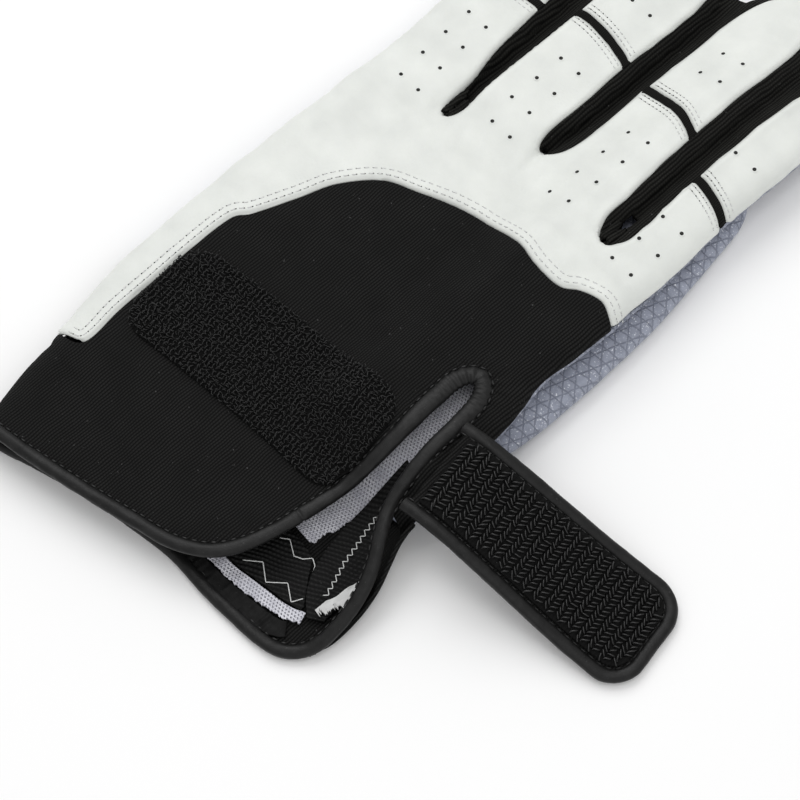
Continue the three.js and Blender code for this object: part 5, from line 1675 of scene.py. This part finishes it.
@dataclass
class Closure:
    """Loop patch on the cuff, and the strap with its hook patch beside the slit."""

    form: HandForm
    cuff: Cuff
    patch_length: float = 70.0
    patch_width: float = 28.6
    patch_round: float = 8.0
    patch_arch: float = 1.4
    patch_tilt: float = 5.0
    patch_centre: tuple[float, float] = (-4.5, -33.3)
    strap_length: float = 65.0
    strap_width: float = 27.0
    strap_flare: float = 2.4
    strap_thickness: float = 1.4
    strap_angle: float = 10.0
    strap_round: float = 9.0
    strap_root: tuple[float, float] = (44.9, -22.8)
    strap_rest: float = 0.7
    piping_width: float = 3.4
    piping_height: float = 2.6
    loop_pitch: tuple[float, float] = (1.25, 0.5)
    loop_rod: float = 0.13
    hook_pitch: tuple[float, float] = (1.65, 1.2)
    hook_rod: float = 0.15

    def patch_plan(self, length: Array, width: Array) -> Array:
        """Plan of the loop patch: its own length and width, bowed toward the fingers and tilted."""
        turn = math.radians(self.patch_tilt)
        bow = width + self.patch_arch * (1 - (2 * length / self.patch_length) ** 2)
        x = self.patch_centre[0] + length * math.cos(turn) - bow * math.sin(turn)
        y = self.patch_centre[1] + length * math.sin(turn) + bow * math.cos(turn)
        return np.stack([x, y], axis=-1)

    def patch_half(self, length: Array) -> Array:
        """Half the patch's width at a length, round at its corners."""
        past = np.clip(np.abs(length) - self.patch_length / 2 + self.patch_round, 0, self.patch_round)
        return self.patch_width / 2 - self.patch_round + np.sqrt(self.patch_round**2 - past**2)

    def on_cuff(self, flat: Array, lift: float) -> Array:
        """Points above the cuff's surface."""
        shape = flat.shape[:-1]
        points = self.form.skin(flat.reshape(-1, 2), Side.BACK)
        points[:, 2] += self.cuff.relief(points) + lift
        return points.reshape(*shape, 3)

    def loop_patch(self) -> None:
        """The patch's ground and its loops: small arches in rows, each leaning its own way."""
        length = np.linspace(-1, 1, 90) * self.patch_length / 2
        share = np.linspace(-1, 1, 40)
        half = self.patch_half(length)
        flat = self.patch_plan(np.repeat(length[:, None], 40, axis=1), half[:, None] * share[None])
        upper = self.cuff.upper_line()
        limit = np.interp(flat[..., 1], upper[150:900, 1], upper[150:900, 0]) - 2.2
        flat[..., 0] = np.minimum(flat[..., 0], limit)
        ground = self.on_cuff(flat, 0.9)
        ground[..., 2] -= 0.5 * np.maximum(
            smooth(np.abs(share), 0.93, 1.0)[None], smooth(np.abs(length), 33.6, 35.0)[:, None]
        )
        register(
            Surface.grid(ground, Side.BACK).made("loop_patch_ground", LOOP_BASE, 0.9), "loop_pile",
            "loop_patch"
        )
        rng = np.random.default_rng(5)
        rows, cols = np.meshgrid(
            np.arange(-34.6, 34.7, self.loop_pitch[0]), np.arange(-14.1, 14.2, self.loop_pitch[1]),
            indexing="ij"
        )
        rows = rows + rng.normal(0, 0.08, rows.shape)
        cols = cols + rng.normal(0, 0.1, cols.shape)
        keep = np.abs(cols) < self.patch_half(rows) - 0.1
        spot = self.patch_plan(rows[keep], cols[keep])
        free = spot[:, 0] < np.interp(spot[:, 1], upper[150:900, 1], upper[150:900, 0]) - 2.4
        spot = spot[free]
        places = self.on_cuff(spot, 0.85)
        count = len(places)
        arch = np.linspace(0, math.pi, 6)
        line = np.stack([-0.5 * np.cos(arch), 0.25 * np.sin(2 * arch), np.sin(arch)], axis=-1)
        loop = bent_rod(line, self.loop_rod, 3)
        turn = math.radians(self.patch_tilt) + rng.choice([-1.0, 1.0], count) * rng.normal(0.75, 0.35, count)
        lean = rng.normal(0, 0.3, (count, 2))
        east = np.stack([np.cos(turn), np.sin(turn), np.zeros(count)], axis=-1)
        north = np.stack([-np.sin(turn), np.cos(turn), np.zeros(count)], axis=-1)
        up = np.stack([lean[:, 0], lean[:, 1], np.ones(count)], axis=-1)
        up /= np.linalg.norm(up, axis=1, keepdims=True)
        size = rng.uniform(0.75, 1.25, count)
        sizes = np.stack([1.0 * size, np.full(count, 1.0), 0.75 * size], axis=-1)
        pile = repeated(loop, places, np.stack([east, north, up], axis=1), sizes)
        register(pile.made("loop_patch_pile", LOOP_YARN), "loop_pile")

    def place(self, length: Array, width: Array) -> Array:
        """Plan of a point of the strap."""
        turn = math.radians(self.strap_angle)
        x = self.strap_root[0] + length * math.cos(turn) - width * math.sin(turn)
        y = self.strap_root[1] + length * math.sin(turn) + width * math.cos(turn)
        return np.stack([x, y], axis=-1)

    def height(self, length: Array) -> Array:
        """Height of the strap's underside: from the cuff down to the table."""
        drop = table(
            [
                [-0.2, 1], [0, 1], [0.08, 0.99], [0.18, 0.92], [0.32, 0.74], [0.5, 0.47], [0.68, 0.22],
                [0.84, 0.06], [0.94, 0.0], [1.2, 0.0]
            ]
        )
        root = np.array(self.strap_root)
        start = float(self.form.backside(root[0], root[1])) + self.strap_rest + 0.6
        return self.strap_rest + (start - self.strap_rest) * np.clip(
            drop(length / self.strap_length, 1), 0, 1
        )

    def half(self, length: Array) -> Array:
        """Half the strap's width before its round end."""
        return self.strap_width / 2 + self.strap_flare / 2 * smooth(length, 0, self.strap_length)

    def sheet(self, inset: float, lift: float, start: float) -> Array:
        """A sheet on the strap, smaller than its outline by an inset.

        Args:
            inset: distance from the strap's outline.
            lift: height above the strap's underside.
            start: distance of its first row from the strap's root.

        Returns:
            Rows, columns and three coordinates.
        """
        end, round_end = self.strap_length - inset, self.strap_round - inset
        t = np.linspace(0, 1, 110)
        length = start + (end - start) * (1 - (1 - t) ** 1.6)
        past = np.clip((length - end + round_end) / round_end, 0, 1)
        half = self.half(length) - inset - round_end * (1 - np.sqrt(1 - past**2))
        width = half[:, None] * np.linspace(-1, 1, 40)[None]
        flat = self.place(np.repeat(length[:, None], 40, axis=1), width)
        crown = 0.25 * (1 - (width / self.half(length)[:, None]) ** 2)
        z = self.height(length)[:, None] + lift + crown
        return np.concatenate([flat, z[..., None]], axis=-1)

    def outline(self, inset: float, count: int) -> Array:
        """The strap's outline made smaller by an inset, from its lower to its upper root."""
        end, round_end = self.strap_length - inset, self.strap_round - inset
        far = end - round_end
        length = np.linspace(0, far, 60)
        corner = np.linspace(-math.pi / 2, 0, 20)
        side = self.half(length) - inset
        edge = side[-1] - round_end
        lower = np.stack([length, -side], axis=-1)
        low_corner = np.stack(
            [far + round_end * np.cos(corner), -edge + round_end * np.sin(corner)], axis=-1
        )
        line = np.vstack([lower, low_corner[1:], (low_corner * [1, -1])[::-1], (lower * [1, -1])[::-1][1:]])
        flat = self.place(line[:, 0], line[:, 1])
        z = self.height(line[:, 0]) + self.strap_thickness / 2
        return evenly(np.column_stack([flat, z]), count)

    def strap(self) -> None:
        """The strap's cloth, its piping with stitches, and the hook patch with its strands."""
        cloth = Surface.grid(self.sheet(self.piping_width / 2, self.strap_thickness, 1.4), Side.BACK)
        register(cloth.made("strap_cloth", KNIT, self.strap_thickness), "black_knit", "strap_body")
        path = self.outline(self.piping_width / 2, 700)
        run = np.linspace(0, 1, len(path)) * np.linalg.norm(np.diff(path, axis=0), axis=1).sum()
        angle = np.arange(20) * 2 * math.pi / 20
        ripple = 0.08 * noise(
            run[:, None] / 5.0, angle[None] * 1.5, 81
        ) + 0.04 * noise(run[:, None] / 1.6, angle[None] * 2.5, 82)
        width, height = np.full(len(path), self.piping_width), np.full(len(path), self.piping_height)
        edge = pipe(path, width, height, False, ripple)
        register(edge.made("strap_piping", PIPING), "piping", "strap_binding")
        inner = self.outline(self.piping_width - 0.1, 400)
        inner[:, 2] += 0.85
        register(
            thread_run(
                inner, np.tile([0, 0, 1.0], (400, 1)), 2.4, (1.8, 0.42, 0.36)
            ).made("strap_piping_stitches", BLACK_THREAD),
            "piping"
        )
        hooks = Surface.grid(
            self.sheet(self.piping_width + 0.3, self.strap_thickness + 0.9, 3.0), Side.BACK
        )
        register(hooks.made("hook_patch_ground", HOOK_BASE, 0.8), "hooks", "hook_patch")
        rng = np.random.default_rng(8)
        rows, cols = np.meshgrid(
            np.arange(4.4, 62.0, self.hook_pitch[0]), np.arange(-13.2, 13.3, self.hook_pitch[1]),
            indexing="ij"
        )
        zigzag = np.where((np.arange(rows.shape[0]) % 2 == 0)[:, None], 1.0, -1.0) * np.ones_like(rows)
        cols = cols + self.hook_pitch[1] / 2 * (np.arange(rows.shape[0]) % 2)[:, None]
        inset = self.piping_width + 0.9
        end, round_end = self.strap_length - inset, self.strap_round - inset
        past = np.clip((rows - end + round_end) / round_end, 0, 1)
        keep = (
            np.abs(cols) < self.half(rows) - inset - round_end * (1 - np.sqrt(1 - past**2))
        ) & (rows < end)
        length, width, lean = rows[keep], cols[keep], zigzag[keep]
        length = length + rng.normal(0, 0.08, len(length))
        flat = self.place(length, width)
        crown = 0.25 * (1 - (width / self.half(length)) ** 2)
        places = np.column_stack([flat, self.height(length) + self.strap_thickness + 0.92 + crown])
        count = len(places)
        turn = math.radians(self.strap_angle) + lean * 0.75 + rng.normal(0, 0.16, count)
        east = np.stack([np.cos(turn), np.sin(turn), np.zeros(count)], axis=-1)
        north = np.stack([-np.sin(turn), np.cos(turn), np.zeros(count)], axis=-1)
        up = np.tile([0.0, 0.0, 1.0], (count, 1))
        arch = np.linspace(0, math.pi, 7)
        line = np.stack([-0.5 * np.cos(arch), 0.12 * np.sin(2 * arch), 0.9 * np.sin(arch) ** 0.8], axis=-1)
        strand = bent_rod(line, self.hook_rod, 6)
        size = rng.uniform(0.85, 1.15, count)
        sizes = np.stack([1.95 * size, np.full(count, 1.4), 0.75 * size], axis=-1)
        many = repeated(strand, places, np.stack([east, north, up], axis=1), sizes)
        register(many.made("hook_patch_strands", HOOK_YARN), "hooks")

    def build(self) -> None:
        """Makes both halves of the closure."""
        self.loop_patch()
        self.strap()


@dataclass
class WristInside:
    """What the open wrist shows: lining, elastic, seam tape, hem and label, on the palm side."""

    form: HandForm
    floor: float = 1.5

    def bed(self, flat: Array) -> Array:
        """Height of the lower layer's inner face."""
        x, y = flat[..., 0], flat[..., 1]
        edge = table(
            [
                [-0.64, 50, 0], [-0.53, 52, 0], [-0.485, 55.3, 0.2], [-0.45, 56.8, 1.4],
                [-0.415, 57.4, 3.2], [-0.375, 57.2, 5], [-0.335, 56, 6.8], [-0.295, 53.7, 8.8],
                [-0.262, 51.5, 10], [-0.248, 50.8, 10.4], [0.4, 50.8, 10.4]
            ]
        )
        side, rise = edge(y / HAND_LENGTH, 1), edge(y / HAND_LENGTH, 2)
        curl = 0.45 * rise * smooth(x - side, -7.0, -1.5) * (1 - smooth(y, -38.0, -36.0))
        return self.floor + self.form.underside(x, y) + curl

    def piece(
        self, name: str, slot: str, finish: Finish, one: Sequence, other: Sequence, lift: float, wall: float,
        wave: Callable[[Array], Array], fray: float = 0.0,
    ) -> None:
        """A small sheet between two edge lines on the lower layer.

        Args:
            name: the node that it stands for.
            slot: not used; it is passed to register, which ignores it.
            finish: what it is made of.
            one: points of one edge, as shares.
            other: points of the other edge.
            lift: height of its face above the bed.
            wall: its thickness.
            wave: relief for its points.
            fray: how far the second edge is ragged.
        """
        rows = 140
        first, second = evenly(spline(plan(one), 200), rows), evenly(spline(plan(other), 200), rows)
        share = np.linspace(0, 1, 40)[None, :, None]
        flat = first[:, None] * (1 - share) + second[:, None] * share
        if fray:
            run = np.arange(rows) / 3.0
            ragged = fray * (noise(run, run * 0.0, 91) + 0.5 * noise(run * 2.7, run * 0.0, 92))
            flat = flat + ragged[:, None, None] * (share**3) * (second - first)[:, None] / np.linalg.norm(
                second - first, axis=1
            )[:, None, None]
        points = np.concatenate([flat, (self.bed(flat) + lift)[..., None]], axis=-1)
        sheet = Surface.grid(points, Side.BACK)
        register(sheet.pressed(wave(sheet.points)).made(f"{name}_cloth", finish, wall), slot, name)

    def zigzag(self, line: Sequence, lift: float, name: str, width: float) -> None:
        """A white thread laid along straight legs."""
        flat = plan(line)
        legs = [evenly(straight(a, b), 8) for a, b in zip(flat[:-1], flat[1:])]
        path = joined(*legs)
        points = np.column_stack([path, self.bed(path) + lift])
        step = max(int(np.linalg.norm(np.diff(points, axis=0), axis=1).sum() / 0.35), 8)
        points = evenly(points, step)
        thread = pipe(
            points, np.full(step, width), np.full(step, width * 0.8), False, np.zeros((step, 6)), 6
        )
        register(thread.made(name, WHITE_THREAD), "white_interfacing")

    def build(self) -> None:
        """Makes all inner pieces."""
        self.piece(
            "palm_lining", "mesh_lining", LINING,
            [(0.10, -0.345), (0.08, -0.30), (0.08, -0.1), (0.10, 0.02)],
            [
                (0.345, -0.352), (0.362, -0.31), (0.378, -0.255), (0.398, -0.20), (0.43, -0.14),
                (0.43, -0.06), (0.43, 0.01)
            ],
            0.55, 0.5, lambda p: 0.35 * noise(p[:, 0] / 5, p[:, 1] / 9, 95), fray=0.8,
        )
        self.piece(
            "seam_tape", "black_knit", ELASTIC,
            [(0.372, -0.16), (0.37, -0.24), (0.378, -0.31), (0.395, -0.365), (0.43, -0.41), (0.48, -0.44)],
            [
                (0.405, -0.17), (0.425, -0.235), (0.462, -0.29), (0.495, -0.33), (0.512, -0.38),
                (0.512, -0.425)
            ],
            1.5, 0.9, lambda p: 0.25 * noise(p[:, 0] / 3, p[:, 1] / 3, 96), fray=0.2,
        )
        self.piece(
            "wrist_elastic", "black_rib", ELASTIC,
            [(0.19, -0.365), (0.29, -0.362), (0.37, -0.366), (0.41, -0.395), (0.455, -0.432)],
            [(0.17, -0.462), (0.26, -0.462), (0.36, -0.452), (0.42, -0.445), (0.455, -0.438)],
            1.0, 0.9, lambda p: 0.15 * noise(p[:, 0] / 3, p[:, 1] / 3, 97),
        )
        self.piece(
            "hem_mesh", "mesh_lining", LINING,
            [(0.12, -0.466), (0.25, -0.466), (0.36, -0.456), (0.43, -0.447), (0.47, -0.436)],
            [(0.12, -0.486), (0.25, -0.487), (0.36, -0.480), (0.44, -0.468), (0.478, -0.452)],
            1.0, 0.9, lambda p: 0.45 * noise(p[:, 0] / 2.2, p[:, 1] / 2.5, 98), fray=0.3,
        )
        self.piece(
            "hem_facing", "black_knit", FACING,
            [(0.06, -0.492), (0.24, -0.490), (0.36, -0.482), (0.43, -0.474), (0.455, -0.466)],
            [(0.06, -0.514), (0.30, -0.512), (0.42, -0.506), (0.46, -0.496), (0.478, -0.484)],
            0.7, 0.7, lambda p: 0.4 * noise(p[:, 0] / 0.9, p[:, 1] / 6.0, 99),
        )
        self.piece(
            "inner_label", "white_interfacing", LABEL,
            [(0.511, -0.326), (0.495, -0.362), (0.492, -0.384), (0.484, -0.404), (0.482, -0.424)],
            [(0.526, -0.334), (0.535, -0.356), (0.526, -0.377), (0.517, -0.401), (0.492, -0.425)],
            2.6, 0.4, lambda p: 0.3 * noise(p[:, 0] / 1.2, p[:, 1] / 2.0, 100), fray=1.0,
        )
        self.zigzag(
            [
                (0.292, -0.382), (0.309, -0.373), (0.347, -0.387), (0.367, -0.38), (0.381, -0.368),
                (0.399, -0.374), (0.408, -0.384)
            ],
            1.3, "elastic_zigzag_upper", 0.26
        )
        self.zigzag(
            [
                (0.274, -0.449), (0.308, -0.429), (0.35, -0.448), (0.387, -0.424), (0.427, -0.441),
                (0.439, -0.425)
            ],
            1.3, "elastic_zigzag_lower", 0.26
        )
        legs = np.linspace(0, 1, 26)
        spine = along(
            plan(
                [
                    (0.408, -0.247), (0.419, -0.279), (0.432, -0.309), (0.442, -0.338), (0.461, -0.371),
                    (0.474, -0.397)
                ]
            ),
            legs
        )
        spine[:, 0] += 0.55 * np.where(np.arange(26) % 2 == 0, 1, -1)
        self.zigzag(spine / [PALM_WIDTH, HAND_LENGTH], 1.85, "tape_zigzag", 0.24)


@dataclass
class Studio:
    """Camera, pale floor and soft lights."""

    target: tuple[float, float, float] = (24.0, -14.0, 8.0)
    azimuth: float = 47.0
    elevation: float = 66.0
    away: float = 533.3
    lens: float = 100.0
    floor_half: float = 3.0
    floor_level: float = -0.0003
    world_strength: float = 0.56

    def camera(self) -> None:
        """The camera at the photograph's viewing angle."""
        turn, tilt = math.radians(self.azimuth), math.radians(self.elevation)
        back = Vector((math.sin(turn) * math.cos(tilt), -math.cos(turn) * math.cos(tilt), math.sin(tilt)))
        data = bpy.data.cameras.new("camera")
        data.lens = self.lens
        data.sensor_width = 36.0
        data.clip_start = 0.01
        camera = bpy.data.objects.new("camera", data)
        centre = Vector(((np.array(self.target) + SHIFT) * MM).tolist())
        camera.location = centre + back * (self.away * MM)
        camera.rotation_mode = "QUATERNION"
        camera.rotation_quaternion = (-back).to_track_quat("-Z", "Y")
        bpy.context.collection.objects.link(camera)
        bpy.context.scene.camera = camera

    def floor(self) -> None:
        """A large pale sheet under the glove."""
        half, level = self.floor_half, self.floor_level
        corners = [(-half, -half, level), (half, -half, level), (half, half, level), (-half, half, level)]
        mesh = bpy.data.meshes.new("floor")
        mesh.from_pydata(corners, [], [(0, 1, 2, 3)])
        material = bpy.data.materials.new("studio_floor")
        material.use_nodes = True
        tree = material.node_tree
        shader = tree.nodes["Principled BSDF"]
        where = Finish.place(tree)
        cloud = Effect.MOTTLE.placed(
            tree,
            {"Vector": where, "Scale": 0.004, "Dark": (0.985, 0.985, 0.985, 1), "Light": (1.0, 1.0, 1.0, 1)}
        )
        tree.links.new(cloud.outputs["Color"], shader.inputs["Base Color"])
        shader.inputs["Roughness"].default_value = 0.9
        shader.inputs["Specular IOR Level"].default_value = 0.1
        mesh.materials.append(material)
        floor = bpy.data.objects.new("floor", mesh)
        bpy.context.collection.objects.link(floor)

    def lights(self) -> None:
        """One large key light, two fills and a bright even world."""
        scene = bpy.context.scene
        scene.view_settings.view_transform = "Standard"
        world = bpy.data.worlds.new("studio")
        world.use_nodes = True
        world.node_tree.nodes["Background"].inputs[0].default_value = (1.0, 1.0, 1.0, 1.0)
        world.node_tree.nodes["Background"].inputs[1].default_value = self.world_strength
        scene.world = world
        for name, place, size, power in (
            ("key", (-0.75, 0.35, 1.05), 0.9, 7.0),
            ("fill", (0.9, -0.5, 0.9), 1.2, 2.4),
            ("top", (0.1, 0.1, 1.5), 0.6, 3.0),
        ):
            data = bpy.data.lights.new(name, "AREA")
            data.shape = "SQUARE"
            data.size = size
            data.energy = power
            light = bpy.data.objects.new(name, data)
            light.location = place
            light.rotation_mode = "QUATERNION"
            light.rotation_quaternion = (-Vector(place)).to_track_quat("-Z", "Y")
            bpy.context.collection.objects.link(light)

    def build(self) -> None:
        """Makes camera, floor and lights."""
        self.camera()
        self.floor()
        self.lights()


def main() -> None:
    """Builds the studio and the glove, sub-assembly by sub-assembly."""
    logging.basicConfig(level=logging.INFO, format="%(message)s")
    Studio().build()
    form = HandForm()
    back = BackOfHand(form)
    cuff = Cuff(form, back)
    for part in (back, Gussets(form), PalmSide(form), cuff, Closure(form, cuff), WristInside(form)):
        part.build()


if __name__ == "__main__":
    main()
